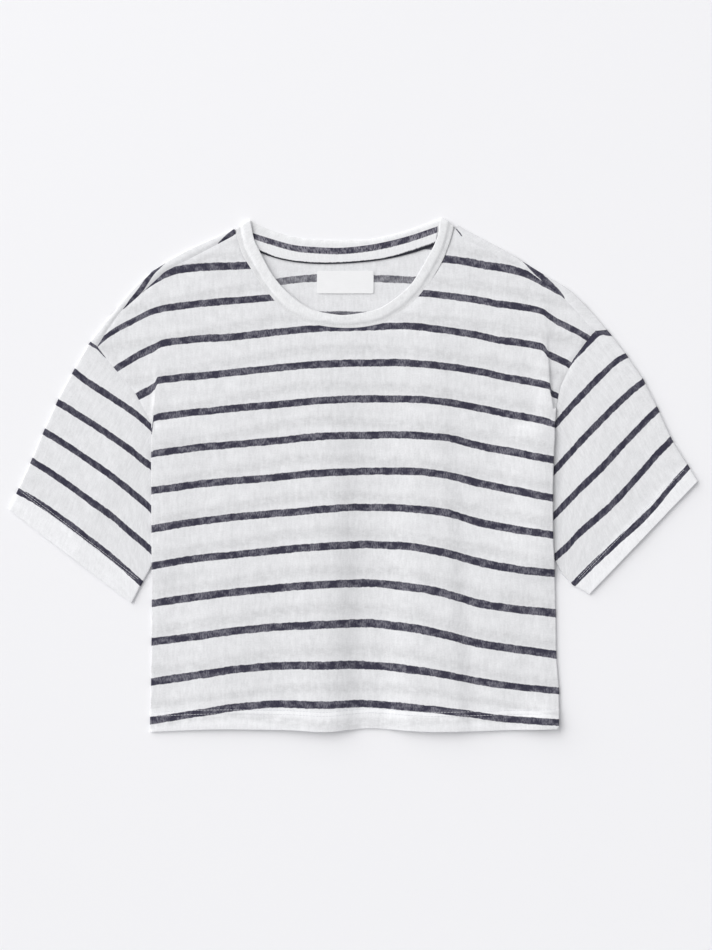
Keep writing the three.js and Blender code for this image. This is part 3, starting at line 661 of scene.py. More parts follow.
STRIPE_BLUR = 0.011      # softness of a stripe's edge, as a share of the pitch


def jersey(name, show_through=0.0, wear=1.0, inside=False):
    """Slub jersey, white with knitted-in navy stripes. The stripes map holds the place across
    the cloth's own stripes and those of the layer below. The hem map holds the distance from
    the hem's edge in metres, and a share: of the cloth's inner face where it is seen from
    inside, and elsewhere of the painted shade along the pressed crease of the left side fold."""
    f = Finish(name, 0.92, 0.12)
    stripe, below, _ = f.parts(f.uv("stripes"))
    hem_distance, inner_face_and_crease_shade_share, _ = f.parts(f.uv("hem"))

    wale = f.unevenness(3.2, 14.0, 1, 3.0)
    fine_wale = f.unevenness(0.9, 6.0, 2, 2.0)
    cloud = f.unevenness(16.0, 9.0, 3, 3.0)
    speck = f.unevenness(1.9, 1.4, 4, 2.0)
    slub = f.fade(f.unevenness(4.5, 1.7, 12, 3.0), 0.58, 0.74)

    # Navy stripe with slightly uneven edges and worn, streaky stretches
    ragged = f.swing(f.unevenness(4.5, 30.0, 5, 3.0), 0.022)
    drift = f.swing(f.unevenness(24.0, 22.0, 6, 1.0), 0.018)
    place = f.total(stripe, f.total(ragged, drift))
    from_middle = f.math("PINGPONG", place, 0.5)
    width = f.total(STRIPE_HALF, f.swing(f.unevenness(11.0, 40.0, 7, 2.0), 0.012))
    navy_share = f.fade(f.less(from_middle, width), STRIPE_BLUR, -STRIPE_BLUR)
    worn = f.fade(f.unevenness(10.0, 9.0, 8, 2.0), 0.40, 0.62)
    streak = f.fade(f.unevenness(1.2, 3.2, 9, 3.0), 0.38, 0.66)
    worn_share = f.times(worn, f.total(0.30, f.times(streak, 0.75)))
    worn_share = f.times(f.total(worn_share, f.times(streak, 0.14)), wear)
    navy = f.blend(worn_share, NAVY_DEEP, NAVY_WORN)
    if inside:
        faded = f.total(0.07, f.times(f.total(worn, streak), 0.09))
        navy = f.blend(f.times(inner_face_and_crease_shade_share, faded), navy, OFF_WHITE)

    # White ground: wales, slubs, and the stripes of the layer below showing through
    light = f.total(1.0, f.swing(cloud, 0.09), f.swing(wale, 0.12), f.swing(fine_wale, 0.055),
                    f.swing(speck, 0.09))
    light = f.less(light, f.times(slub, 0.045))
    hem_share = f.fade(hem_distance, (HEM + 0.4) * MM, (HEM - 0.4) * MM)
    if show_through:
        shown_place = f.total(below, f.swing(f.unevenness(9.0, 9.0, 10, 2.0), 0.05))
        shown = f.fade(f.math("PINGPONG", shown_place, 0.5), 0.22, 0.05)
        patchy = f.fade(f.unevenness(7.0, 4.0, 11, 3.0), 0.30, 0.62, 0.45, 1.25)
        strength = f.total(show_through, f.times(hem_share, HEM_SHOWS_MORE * show_through))
        light = f.less(light, f.times(f.times(shown, patchy), strength))
    light = f.total(light, f.times(hem_share, HEM_BRIGHTER))
    if not inside:
        # painted shade along the left side fold's crease, dimming its highlight
        light = f.less(light, f.times(inner_face_and_crease_shade_share, CREASE_PAINTED_SHADE))
    ground = f.shade(OFF_WHITE, light)

    colour = f.blend(navy_share, ground, navy)
    height = f.total(f.times(wale, 0.6), f.times(fine_wale, 0.5), f.times(speck, 0.4))
    return f.finish(colour, height, 0.3, 0.4)


def rib_jersey(name):
    """Plain white jersey of the neckband, with fine wales across it. The groove map holds
    the share of the sunk part beside the seam, whose colour is darkened there as painted shade."""
    f = Finish(name, 0.9, 0.12)
    wale = f.unevenness(1.1, 12.0, 21, 2.0)
    cloud = f.unevenness(9.0, 4.0, 22, 3.0)
    speck = f.unevenness(1.8, 1.6, 23, 2.0)
    light = f.total(1.0, f.total(f.swing(wale, 0.09), f.swing(cloud, 0.14)), f.swing(speck, 0.10))
    groove_shade, _, _ = f.parts(f.uv("groove_shade"))
    # painted shade on the sunk part beside the seam
    light = f.less(light, f.times(groove_shade, GROOVE_PAINTED_SHADE))
    return f.finish(f.shade(RIB_WHITE, light), f.total(wale, speck), 0.25, 0.4)


def tape_jersey(name):
    """Strip over the back neck seam: a navy stripe at its top, a thin dark line at its foot.
    The stripes map holds the distance from the top edge and from the foot, in metres."""
    f = Finish(name, 0.9, 0.12)
    from_top, from_foot, _ = f.parts(f.uv("stripes"))
    ragged = f.swing(f.unevenness(2.4, 30.0, 31, 3.0), 0.6 * MM)
    top_share = f.fade(f.total(from_top, ragged), 6.9 * MM, 6.1 * MM)
    foot_share = f.fade(f.total(from_foot, ragged), 2.0 * MM, 1.2 * MM)
    worn = f.fade(f.unevenness(8.0, 9.0, 32, 2.0), 0.38, 0.60, 0.15, 1.0)
    streak = f.fade(f.unevenness(1.2, 4.0, 34, 3.0), 0.36, 0.64, 0.10, 1.3)
    navy = f.blend(f.times(worn, streak), NAVY_DEEP, NAVY_TAPE_WORN)
    wale = f.unevenness(0.9, 8.0, 33, 2.0)
    speck = f.unevenness(2.2, 1.6, 35, 2.0)
    light = f.total(1.0, f.total(f.swing(wale, 0.10), f.swing(speck, 0.08)))
    colour = f.blend(top_share, f.shade(TAPE_WHITE, light), navy)
    colour = f.blend(foot_share, colour, TAPE_FOOT_DARK)
    return f.finish(colour, wale, 0.2, 0.3)


def satin_weave(name):
    """Woven blank label, with fine threads across it."""
    f = Finish(name, 0.55, 0.05, 0.35)
    thread = f.unevenness(9.0, 0.45, 41, 2.0)
    cloud = f.unevenness(9.0, 9.0, 42, 2.0)
    light = f.total(1.0, f.total(f.swing(thread, 0.04), f.swing(cloud, 0.03)))
    return f.finish(f.shade(LABEL_WHITE, light), thread, 0.1, 0.25)


def spun_thread(name):
    """Thread of the hem stitches, with its twist."""
    f = Finish(name, 0.75, 0.1)
    twist = f.unevenness(0.5, 0.5, 51, 1.0)
    colour = f.shade(THREAD_WHITE, f.total(1.0, f.swing(twist, 0.08)))
    return f.finish(colour, twist, 0.05, 0.4)


striped = jersey("striped_jersey_front", show_through=0.085)
striped_inside = jersey("striped_jersey_back", wear=0.8, inside=True)
striped_sleeve = {side: jersey(f"striped_jersey_sleeve_{side}", wear=0.55) for side in SLEEVES}
band_cloth = rib_jersey("neckband_cloth")
tape_cloth = tape_jersey("neck_tape_cloth")
label_cloth = satin_weave("label_weave")
thread = spun_thread("sewing_thread")


# ---------------------------------------------------------------------------
# Front
# ---------------------------------------------------------------------------

ROLL = math.pi * FOLD_RADIUS     # length of cloth in the bend of a fold
EDGE_TUCK = 0.3                  # cloth past the roll of an edge that isn't folded under


def turned_reach(turn):
    """How far the roll of an edge comes out past the place where it starts."""
    if turn < 1:
        return ROLL + EDGE_TUCK
    angle = math.radians(turn)
    if turn < 90:
        return ROLL / angle * math.sin(angle) + EDGE_TUCK * math.cos(angle)
    return ROLL / angle


def edge_table(side):
    """Columns of Y, start of the roll, angle, height and length tucked under, down an edge."""
    seam = UNDER_SEAMS[side]
    rows = []
    for row in FRONT_EDGES[side]:
        edge = named(EDGE_COLUMNS, row)
        skin = JERSEY / 2 * math.sin(math.radians(min(90, edge["turn"])))
        start = edge["x"] - OUTWARD[side] * (turned_reach(edge["turn"]) + skin)
        tuck = EDGE_TUCK
        if edge["turn"] == 180:
            seam_x = straight_at([y for _, y in seam], [x for x, _ in seam], edge["y"])
            tuck = abs(seam_x - edge["x"]) - FOLD_RADIUS - JERSEY / 2 - SIDE_SEAM_GAP
        rows.append((edge["y"], start, edge["turn"], edge["rim"], tuck))
    return [list(column) for column in zip(*rows)]


edge_tables = {side: edge_table(side) for side in FRONT_EDGES}


def edge_at(side, y):
    """Start of the roll, angle, height and length tucked under, at one place down an edge."""
    keys, starts, turns, rims, tucks = edge_tables[side]
    start, turn, tuck = (straight_at(keys, column, y) for column in (starts, turns, tucks))
    return start, turn, smooth_at(keys, rims, clamp(y, keys[-1], keys[0])), tuck


def across_hem(column, x):
    """Value from one column of the front hem's table."""
    return smooth_at(HEM_X, column, clamp(x, HEM_X[0], HEM_X[-1]))


def hem_line(x):
    """Y of the front's lower edge."""
    (left_x, left_y), (right_x, right_y) = (FRONT_EDGES[side][-1][:2] for side in OUTWARD)
    return mix(left_y, right_y, clamp((x - left_x) / (right_x - left_x))) + across_hem(HEM_WAVE, x)


BODY_LEFT, BODY_WIDTH = -203, 408


def fold_rise(x, y):
    """Height that the long folds give the front, level again at both its edges."""
    total = rise = 0.0
    for fold in FRONT_FOLDS:
        t = clamp((fold["top_y"] - y) / (fold["top_y"] - fold["foot_y"]))
        whole = mix(fold["top_rise"], fold["foot_rise"], t) * soft_step(FOLD_FADE, 0, y - fold["top_y"])
        away = (x - mix(fold["top_x"], fold["foot_x"], t)) / fold["half_width"]
        total += whole
        rise += whole * 0.5 * (1 + math.erf(away))
    return rise - total * (x - BODY_LEFT) / BODY_WIDTH


def pleat_line(side, y):
    """X and height of a pleat's ridge."""
    places, keys, rises = zip(*PLEATS[side])
    return smooth_at(keys, places, y), smooth_at(keys, rises, y)


def pleat_rise(side, x, y):
    """Ridge that drops quickly on its outer side."""
    rows = PLEATS[side]
    if not rows[-1][1] <= y <= rows[0][1]:
        return 0.0
    ridge_x, rise = pleat_line(side, y)
    outward = (x - ridge_x) * OUTWARD[side]
    width = PLEAT_WIDTH[side][0 if outward > 0 else 1]
    return rise * math.exp(-(outward / width) ** 2)


NECK_UNDERLAP = 1.4      # cloth of the front below the neckband
NECK_STEP = 2.2
LINE_STEP = 0.5          # step of the lines that distances are measured to


def inward_shifts(line, distance):
    """Sideways shift of each point of a line, to its left."""
    shifts = []
    for i in range(len(line)):
        a, b = line[max(0, i - 1)], line[min(len(line) - 1, i + 1)]
        length = math.dist(a, b)
        shifts.append((-(b[1] - a[1]) / length * distance, (b[0] - a[0]) / length * distance))
    return shifts


neck_line = smooth_line(NECK_SEAM, NECK_STEP)
neck_cut = [(x + shift_x, y + shift_y)
            for (x, y), (shift_x, shift_y) in zip(neck_line, inward_shifts(neck_line, NECK_UNDERLAP))]
neck_cut_tree = tree_of(even_line(neck_cut, LINE_STEP))
left_seam, right_seam = (even_line([row[:2] for row in FRONT_EDGES[side] if row[2] == 0], LINE_STEP)
                         for side in FRONT_EDGES)
shoulder_tree = tree_of(left_seam + right_seam)
seam_tree = tree_of(even_line(neck_line, LINE_STEP) + left_seam + right_seam)

DITCH_WIDTH = 1.3
ALLOWANCE = {"rise": 0.18, "away": 4.0, "half_width": 2.2}      # soft ridge beside a seam
NECK_DROP, NECK_DROP_REACH = 0.42, (4.5, 0.3)
SEAM_OVERLAP = 0.7       # a sewn edge reaches this far below its neighbour
OVERLAP_DROP = 0.45


def seam_ditch(gap, depth):
    """Dip of cloth towards a seam, with the soft ridge of the seam's allowance beside it."""
    ridge = math.exp(-((gap - ALLOWANCE["away"]) / ALLOWANCE["half_width"]) ** 2)
    return -depth * math.exp(-(gap / DITCH_WIDTH) ** 2) + ALLOWANCE["rise"] * ridge


def neck_drop(gap):
    """Dip of the front's cloth below the neckband, by its distance from the cut edge there."""
    return NECK_DROP * soft_step(*NECK_DROP_REACH, gap)


def overlap_drop(distance, reach=2.2):
    """Dip of a sewn edge that goes below its neighbour."""
    return OVERLAP_DROP * soft_step(reach, -SEAM_OVERLAP, distance)


HEM_WAVES_REACH = 26     # the waves of the front's hem fade out over this height
HEM_DROOP = 0.4          # last millimetres of the front's hem, bent towards the floor
HEM_DROOP_REACH = 2.2
HEM_EASE = 3             # half the width of the step up to a hem's second layer


def hem_rise(x, y):
    """Waves of the front's hem."""
    return across_hem(HEM_LIFT, x) * math.exp(-((y - hem_line(x)) / HEM_WAVES_REACH) ** 2)


def hem_lift(distance):
    """Height that the middle of the lower layer gains where a hem doubles its thickness."""
    return JERSEY / 2 * soft_step(HEM + HEM_EASE, HEM - HEM_EASE, distance)


LOWEST_FRONT = 1.3       # just clear of the back
LOWER_LOFT = 0.8         # the lower body stands off the back a little more than the chest
LOFT_REACH = (150, 30)   # heights between which it does
EDGE_PLATEAU = (2, 13)   # level cloth beside an open edge, and beside a folded one
EDGE_SLOPE = 46          # width over which an edge's height passes into the chest's
NECK_RELIEF_Y = 40       # seams of the shoulders and the neck lie above this
# Width beside an edge over which each kind of relief comes in
FOLDS_EASE, WAVES_EASE, UNEVEN_EASE = (-1, 5), (-1, 10), (-1, 14)


def front_height(x, y):
    """Height of the middle of the front's cloth, inside its folds."""
    heights = []
    for side, outward in OUTWARD.items():
        start, turn, rim, _ = edge_at(side, y)
        heights.append(((start - x) * outward, turn, rim))
    inward, turn, rim = min(heights)
    plateau = mix(*EDGE_PLATEAU, turn / 180)
    chest = CHEST_LAYER + LOWER_LOFT * soft_step(*LOFT_REACH, y)
    rest = mix(rim, chest, soft_step(plateau, plateau + EDGE_SLOPE, inward))
    rest += fold_rise(x, y) * soft_step(*FOLDS_EASE, inward)
    rest += pleat_rise("left" if x < 0 else "right", x, y)
    hem_gap = y - hem_line(x)
    droop = HEM_DROOP * math.exp(-(hem_gap / HEM_DROOP_REACH) ** 2)
    rest += (hem_rise(x, y) - droop) * soft_step(*WAVES_EASE, inward)
    uneven = (0.32 * ripple(x, y, 70, 1.5) + 0.20 * ripple(x * 1.4, y, 26, 2.5)
              + 0.05 * ripple(x * 2, y, 7, 3.5))
    rest += soft_step(*UNEVEN_EASE, inward) * uneven
    if y > NECK_RELIEF_Y:
        rest += seam_ditch(gap_to(shoulder_tree, x, y), 0.3) - neck_drop(gap_to(neck_cut_tree, x, y))
    return max(LOWEST_FRONT + 2 * hem_lift(hem_gap), rest)


def front_place(u, v):
    """Point of the front's cloth in place, from its place on the cloth laid open."""
    for side, outward in OUTWARD.items():
        start, turn, _, _ = edge_at(side, v)
        out = (u - start) * outward
        if out > 0:
            if turn < 1:
                break
            angle = math.radians(turn)
            curved = min(out, ROLL)
            straight = out - curved
            swept = angle * curved / ROLL
            reach = ROLL / angle * math.sin(swept) + straight * math.cos(angle)
            drop = ROLL / angle * (1 - math.cos(swept)) + straight * math.sin(angle)
            return start + outward * reach, v, front_height(start, v) - drop
    return u, v, front_height(u, v)


# Places of closer points across a side fold and across a pleat, and the steps of their rows
FOLD_POINTS = (-5.6, -4.0, -2.6, -1.5, -0.6, 0.1, 0.6, 1.1, 1.6, 2.1, 2.6, 3.4, 4.8, 6.4)
PLEAT_POINTS = (-5.6, -4.3, -3.2, -2.3, -1.5, -0.9, -0.4, 0.1, 0.5, 0.9, 1.4, 2.0, 2.8, 3.8, 5.0)
FOLD_ROWS, PLEAT_ROWS = 2.0, 1.5
CLEARANCE = 1.6          # no even point comes closer than this to the closer ones
FOLD_TOP = 57.0          # height on the body below which the sides are folded


def close_points(outline):
    """Closer points along the side folds and the pleats above them."""
    points = []
    for side, outward in OUTWARD.items():
        y = FOLD_TOP - 1
        while y > hem_line(0) + 1:
            start, _, _, tuck = edge_at(side, y)
            points += [(start + outward * out, y) for out in FOLD_POINTS if out < ROLL + tuck - 1]
            y -= FOLD_ROWS
        y = FOLD_TOP + 0.6
        while y < PLEATS[side][0][1]:
            places = crossings(outline, y)
            ridge, _ = pleat_line(side, y)
            points += [(ridge + outward * out, y) for out in PLEAT_POINTS
                       if within(places, ridge + outward * out, 0.9)]
            y += PLEAT_ROWS
    return [(x, y) for x, y in points if y > hem_line(x) + 1]


def near_close_points(x, y):
    side = "left" if x < 0 else "right"
    if y < FOLD_TOP:
        return (x - edge_at(side, y)[0]) * OUTWARD[side] > FOLD_POINTS[0] - CLEARANCE
    if y < PLEATS[side][0][1] + 1:
        return abs(x - pleat_line(side, y)[0]) < PLEAT_POINTS[-1] + CLEARANCE
    return False


def front_outline():
    """Outline of the front's cloth laid open."""
    left, right = ([(start + outward * (ROLL + tuck), y) for y, start, _, _, tuck in zip(*edge_tables[side])]
                   for side, outward in OUTWARD.items())
    left_end, right_end = left[-1][0], right[-1][0]
    count = round((right_end - left_end) / NET_STEP)
    bottom = [(x, hem_line(x)) for x in (mix(left_end, right_end, k / count) for k in range(1, count))]
    return (even_line([(left_end, hem_line(left_end))] + left[-2::-1], NET_STEP) + neck_cut[1:-1]
            + even_line(right[:-1] + [(right_end, hem_line(right_end))], NET_STEP) + bottom[::-1])


# Place and width of the painted shade along the left side fold's crease
CREASE_SHADE_OUT, CREASE_SHADE_WIDTH = 1.0, 0.9


def crease_painted_shade_share(u, v):
    """Share of the painted shade along the pressed crease of the left side fold."""
    if u > 0 or v > FOLD_TOP:
        return 0.0
    return math.exp(-((edge_at("left", v)[0] - u - CREASE_SHADE_OUT) / CREASE_SHADE_WIDTH) ** 2)


def front_maps(flat, shaped):
    """Named UV maps of the front, each with a place for every point."""
    return {
        "yarn": [(u * MM, v * MM) for u, v in flat],
        "stripes": [(stripe_value(front_stripes, u, v), stripe_value(back_stripes, x, y))
                    for (u, v), (x, y, _) in zip(flat, shaped)],
        # second place: share of the painted shade on the left side fold's crease
        "hem": [((v - hem_line(u)) * MM, crease_painted_shade_share(u, v)) for u, v in flat],
    }


def double_cloth(distances):
    """Share of the full thickness: a hem is two layers."""
    return [mix(0.5, 1.0, soft_step(HEM + 0.6, HEM - 0.6, distance)) for distance in distances]


front_edge = front_outline()
flat, faces, _ = net(front_edge, NET_STEP, close_points(front_edge), near_close_points)
shaped = [front_place(u, v) for u, v in flat]
front_piece = cloth_object(
    "front_cloth", shaped, faces, front_maps(flat, shaped), striped, 2 * JERSEY,
    double_cloth([v - hem_line(u) for u, v in flat]))


# ---------------------------------------------------------------------------
# Back
# ---------------------------------------------------------------------------

def shoulder_stations(side):
    """Fold and seam points along a shoulder, from the neck to the armhole."""
    rows = SHOULDERS[side]
    folds = [row[:2] for row in rows]
    count = round(line_length(folds) / NET_STEP)
    stops, travelled = [0.0], 0.0
    for a, b in zip(folds, folds[1:]):
        travelled += math.dist(a, b)
        stops.append(travelled)
    stations = []
    for k in range(count + 1):
        stop = travelled * k / count
        stations.append([smooth_at(stops, [row[c] for row in rows], stop) for c in range(4)])
    return stations


ROLL_STEPS = 6           # steps round a fold of the back or a sleeve
TOP_STEPS = 5            # steps from a shoulder's fold to its seam
FOLD_SKIN = FOLD_RADIUS + JERSEY / 2


def shoulder_start(station):
    """Place where the back's flat cloth starts to roll over, its direction outwards, and
    the width of the cloth on top."""
    fold, seam = Vector(station[:2]), Vector(station[2:])
    out = (fold - seam).normalized()
    run = (fold - seam).length - FOLD_SKIN
    return seam + out * run, out, run


back_seam_edges = even_line(BACK_NECK_SEAM, LINE_STEP)
for side in SLEEVES:
    back_seam_edges += even_line(SLEEVES[side]["back_seam"], LINE_STEP)
back_seam_tree = tree_of(back_seam_edges)

BACK_SHARE = 0.5         # share of the front's folds that the back takes part in
BACK_FOLDS_X = (196, 170)        # distances from the middle between which those come in
BACK_FOLDS_Y = (60, 0)           # and heights on the body
BACK_HEM_INSET = 0.8
SEEN_INSIDE_Y = 146      # lowest place where the back is seen inside the neck
SEEN_REACH = (20, 60)    # distances from the seams between which it is more uneven there
BACK_DITCH = 0.06


def back_hem_line(x):
    return hem_line(x) + BACK_HEM_INSET


def back_height(x, y):
    """Height of the middle of the back's flat cloth."""
    gap = gap_to(back_seam_tree, x, y)
    low = 0.12 * abs(ripple(x, y, 45, 5.5)) + 0.05 * abs(ripple(x, y, 12, 6.5))
    seen = soft_step(*SEEN_REACH, gap_to(seam_tree, x, y)) if y > SEEN_INSIDE_Y else 0.0
    folds = BACK_SHARE * max(0.0, fold_rise(x, y) + hem_rise(x, y)) * soft_step(*BACK_FOLDS_X, abs(x))
    return (FLOOR_LAYER - 0.12 + low + 0.35 * seen * abs(ripple(x + 30, y, 38, 7.5))
            + folds * soft_step(*BACK_FOLDS_Y, y) - BACK_DITCH * math.exp(-(gap / DITCH_WIDTH) ** 2)
            + hem_lift(y - back_hem_line(x)))


def back_outline(stations):
    """Outline of the flat cloth. Its shoulders are the places where the rolls start."""
    neck = smooth_line(BACK_NECK_SEAM, NET_STEP)
    sides = {}
    for side, outward in OUTWARD.items():
        seam = SLEEVES[side]["back_seam"]
        inset = -outward * SIDE_SEAM_GAP
        line = [(x + inset, y) for x, y in seam[1:-1] + BACK_SIDES[side][:-1]]
        corner = BACK_SIDES[side][-1][0] + inset
        sides[side] = even_line(line + [(corner, back_hem_line(corner))], NET_STEP)
    starts = {side: [tuple(shoulder_start(s)[0]) for s in rows] for side, rows in stations.items()}
    level = even_line([sides["right"][-1], sides["left"][-1]], NET_STEP)[1:-1]
    hem = [(x, back_hem_line(x)) for x, _ in level]
    outline = (sides["left"][::-1] + starts["left"][::-1] + neck[1:-1] + starts["right"]
               + sides["right"] + hem)
    first_left = len(sides["left"])
    first_right = first_left + len(starts["left"]) + len(neck) - 2
    left_numbers = [first_left + len(starts["left"]) - 1 - k for k in range(len(starts["left"]))]
    right_numbers = [first_right + k for k in range(len(starts["right"]))]
    return outline, {"left": left_numbers, "right": right_numbers}


def back_cloth():
    """Back with the strips that roll over the shoulders to the seams on the front."""
    stations = {side: shoulder_stations(side) for side in SHOULDERS}
    outline, edge_numbers = back_outline(stations)
    flat, faces, numbers = net(outline, NET_STEP + 0.2)
    points = [(x, y, back_height(x, y)) for x, y in flat]
    yarn = list(flat)
    stripes = [(stripe_value(back_stripes, x, y), 0.5) for x, y in flat]
    inner = [1.0] * len(flat)
    for side, rows in stations.items():
        columns = []
        for station, edge_number in zip(rows, edge_numbers[side]):
            start, out, run = shoulder_start(station)
            column = [numbers[edge_number]]
            floor_z = points[column[0]][2]
            radius = (UPPER_LAYER - floor_z) / 2
            steps = []
            for k in range(1, ROLL_STEPS + 1):
                angle = math.pi * k / ROLL_STEPS
                steps.append((run + radius * math.sin(angle), floor_z + radius * (1 - math.cos(angle)),
                              radius * angle))
            for k in range(1, TOP_STEPS + 1):
                left_run = mix(run, -SEAM_OVERLAP, k / TOP_STEPS)
                crown = 0.15 * math.sin(math.pi * k / TOP_STEPS)
                rise = crown + seam_ditch(left_run, 0.2) - overlap_drop(left_run)
                steps.append((left_run, UPPER_LAYER + rise, radius * math.pi + run - left_run))
            seam = start - out * run
            for place, z, length in steps:
                spot = seam + out * place
                column.append(len(points))
                points.append((spot.x, spot.y, z))
                yarn.append(tuple(start + out * length))
                upper = z > FLOOR_LAYER + FOLD_RADIUS
                value = shoulder_stripe_value(side, spot.x, spot.y) if upper else \
                    stripe_value(back_stripes, spot.x, spot.y)
                stripes.append((value, 0.5))
                inner.append(0.0 if upper else 1.0)
            columns.append(column)
        for near, far in zip(columns, columns[1:]):
            for a, b, c, d in zip(near, near[1:], far[1:], far):
                faces.append((a, b, c, d) if side == "left" else (a, d, c, b))
    maps = {"yarn": [(x * MM, y * MM) for x, y in yarn], "stripes": stripes,
            "hem": [((y - back_hem_line(x)) * MM, share) for (x, y), share in zip(yarn, inner)]}
    return cloth_object("back_cloth", points, faces, maps, striped_inside, 2 * JERSEY,
                        double_cloth([y - back_hem_line(x) for x, y in yarn]))


back_piece = back_cloth()


# ---------------------------------------------------------------------------
# Sleeves
# ---------------------------------------------------------------------------

def sleeve_point(side, seam, a, t):
    """Place on a layer of a sleeve: a runs from the outer to the under fold, t from the
    armhole to the hem."""
    lines = SLEEVES[side]
    armhole = along(lines[seam], a)
    outer = along(lines["outer_fold"], t)
    under = along(lines["under_fold"], t)
    outer_start, outer_end = lines["outer_fold"][0], lines["outer_fold"][-1]
    under_start, under_end = lines["under_fold"][0], lines["under_fold"][-1]
    place = []
    for c in (0, 1):
        hem = mix(outer_end[c], under_end[c], a)
        corner = mix(mix(outer_start[c], under_start[c], a), hem, t)
        place.append(mix(armhole[c], hem, t) + mix(outer[c], under[c], a) - corner)
    return Vector(place)


def sleeve_length(side):
    line = SLEEVES[side]["outer_fold"]
    return math.dist(line[0], line[-1])


SLEEVE_ACROSS = 60       # steps across each layer of a sleeve
SLEEVE_HEM = {"left": 23.8, "right": 19.8}      # width of each sleeve's hem
# Relief of the top layer at the armhole: depth of the ditch, reach of the dip beside it, and
# rise of the outer edge, which stands higher on the right
SLEEVE_SEAM = {
    "left": {"ditch": 0.25, "reach": 2.2, "outer_rise": 0.0},
    "right": {"ditch": 0.1, "reach": 7.0, "outer_rise": 0.7},
}
COVERED = (0.45, 0.6)    # shares across between which the body begins to cover the sleeve


def above_hem(side, x, y):
    """Distance from a sleeve's opening, scaled so that its own hem counts as HEM."""
    (ax, ay), (bx, by) = (SLEEVES[side][line][-1] for line in ("outer_fold", "under_fold"))
    across = ((bx - ax) * (y - ay) - (by - ay) * (x - ax)) / math.dist((ax, ay), (bx, by))
    return abs(across) * HEM / SLEEVE_HEM[side]


def sleeve_height(side, p, a, t):
    """Height of the top layer."""
    loft = 0.6 * math.sin(math.pi * a) * math.sin(math.pi * min(1.0, t * 1.15))
    gap = t * sleeve_length(side)
    covered = soft_step(*COVERED, a)
    hidden = covered * (0.3 * soft_step(0.35, 0.15, t) + 0.45 * soft_step(22, 8, gap))
    edge = math.sin(math.pi * a) ** 0.5
    uneven = 0.22 * ripple(p.x, p.y, 34, 11.5) + 0.08 * ripple(p.x, p.y, 11, 12.5)
    fold = 0.5 * math.exp(-((a - 0.38 - 0.15 * t) / 0.09) ** 2) * soft_step(0.05, 0.5, t)
    shape = SLEEVE_SEAM[side]
    seam = seam_ditch(gap, shape["ditch"]) * soft_step(0.75, 0.5, a)
    seam -= overlap_drop(gap, shape["reach"]) * (1 - 0.8 * covered)
    seam += shape["outer_rise"] * soft_step(0.25, 0.0, a) * soft_step(0.0, 0.1, t)
    mouth = 0.7 * edge * math.exp(-((1 - t) / 0.12) ** 2)
    relief = edge * (uneven * (1 - hidden) + fold * (1 - soft_step(0.5, 0.8, a)))
    return UPPER_LAYER + loft - hidden + relief + seam + mouth


def rolled_edge(centre, direction, high, low, downwards):
    """Points round a sleeve's fold between its two layers."""
    rolled = []
    for k in range(1, ROLL_STEPS):
        angle = math.pi * k / ROLL_STEPS
        turn = math.cos(angle) if downwards else -math.cos(angle)
        run = (high - low) / 2 * math.sin(angle)
        rolled.append((centre.x + direction.x * run, centre.y + direction.y * run,
                       (high + low) / 2 + turn * (high - low) / 2))
    return rolled


def sleeve_cloth(side):
    """Flattened tube in rings from the armhole to the hem. Gives the piece, its points and
    how many a ring has."""
    length = sleeve_length(side)
    rings = round(length / SLEEVE_STEP)
    points, yarn, stripes, hems, doubles = [], [], [], [], []
    start = -SEAM_OVERLAP / length
    for i in range(rings + 1):
        t = mix(start, 1.0, i / rings)
        layers = {}
        for seam in ("front_seam", "back_seam"):
            layer = [sleeve_point(side, seam, k / SLEEVE_ACROSS, t) for k in range(SLEEVE_ACROSS + 1)]
            outer = (layer[0] - layer[1]).normalized()
            under = (layer[-1] - layer[-2]).normalized()
            layer[0] = layer[0] - outer * FOLD_SKIN
            layer[-1] = layer[-1] - under * FOLD_SKIN
            layers[seam] = (layer, outer, under)
        top, outer, under = layers["front_seam"]
        bottom = layers["back_seam"][0]
        bottom[0], bottom[-1] = top[0], top[-1]
        ring = [(p.x, p.y, sleeve_height(side, p, k / SLEEVE_ACROSS, t)) for k, p in enumerate(top)]
        heights = [(ring[k][2], FLOOR_LAYER + hem_lift(above_hem(side, *ring[k][:2]))) for k in (0, -1)]
        ring += rolled_edge(top[-1], under, *heights[1], True)
        for p in reversed(bottom):
            low = 0.08 * abs(ripple(p.x, p.y, 30, 13.5))
            ring.append((p.x, p.y, FLOOR_LAYER - 0.1 + low + hem_lift(above_hem(side, p.x, p.y))))
        ring += rolled_edge(top[0], outer, *heights[0], False)
        travelled, before = 0.0, ring[0]
        for p in ring:
            travelled += math.dist(p, before)
            before = p
            points.append(p)
            yarn.append((travelled * MM, -t * length * MM))
            stripes.append((stripe_value(sleeve_stripes[side], p[0], p[1]), 0.5))
            doubles.append(above_hem(side, p[0], p[1]))
            hems.append((doubles[-1] * MM, 0.0))
    columns = len(points) // (rings + 1)
    faces = grid_faces(rings + 1, columns, closed_columns=True)
    if side == "right":
        faces = [tuple(reversed(face)) for face in faces]
    maps = {"yarn": yarn, "stripes": stripes, "hem": hems}
    return cloth_object(f"sleeve_{side}_cloth", points, faces, maps, striped_sleeve[side], 2 * JERSEY,
                        double_cloth(doubles)), points, columns


sleeve_pieces, sleeve_rings = {}, {}
for side in SLEEVES:
    sleeve_pieces[side], *sleeve_rings[side] = sleeve_cloth(side)


# ---------------------------------------------------------------------------
# Neckband, tape and label
# ---------------------------------------------------------------------------

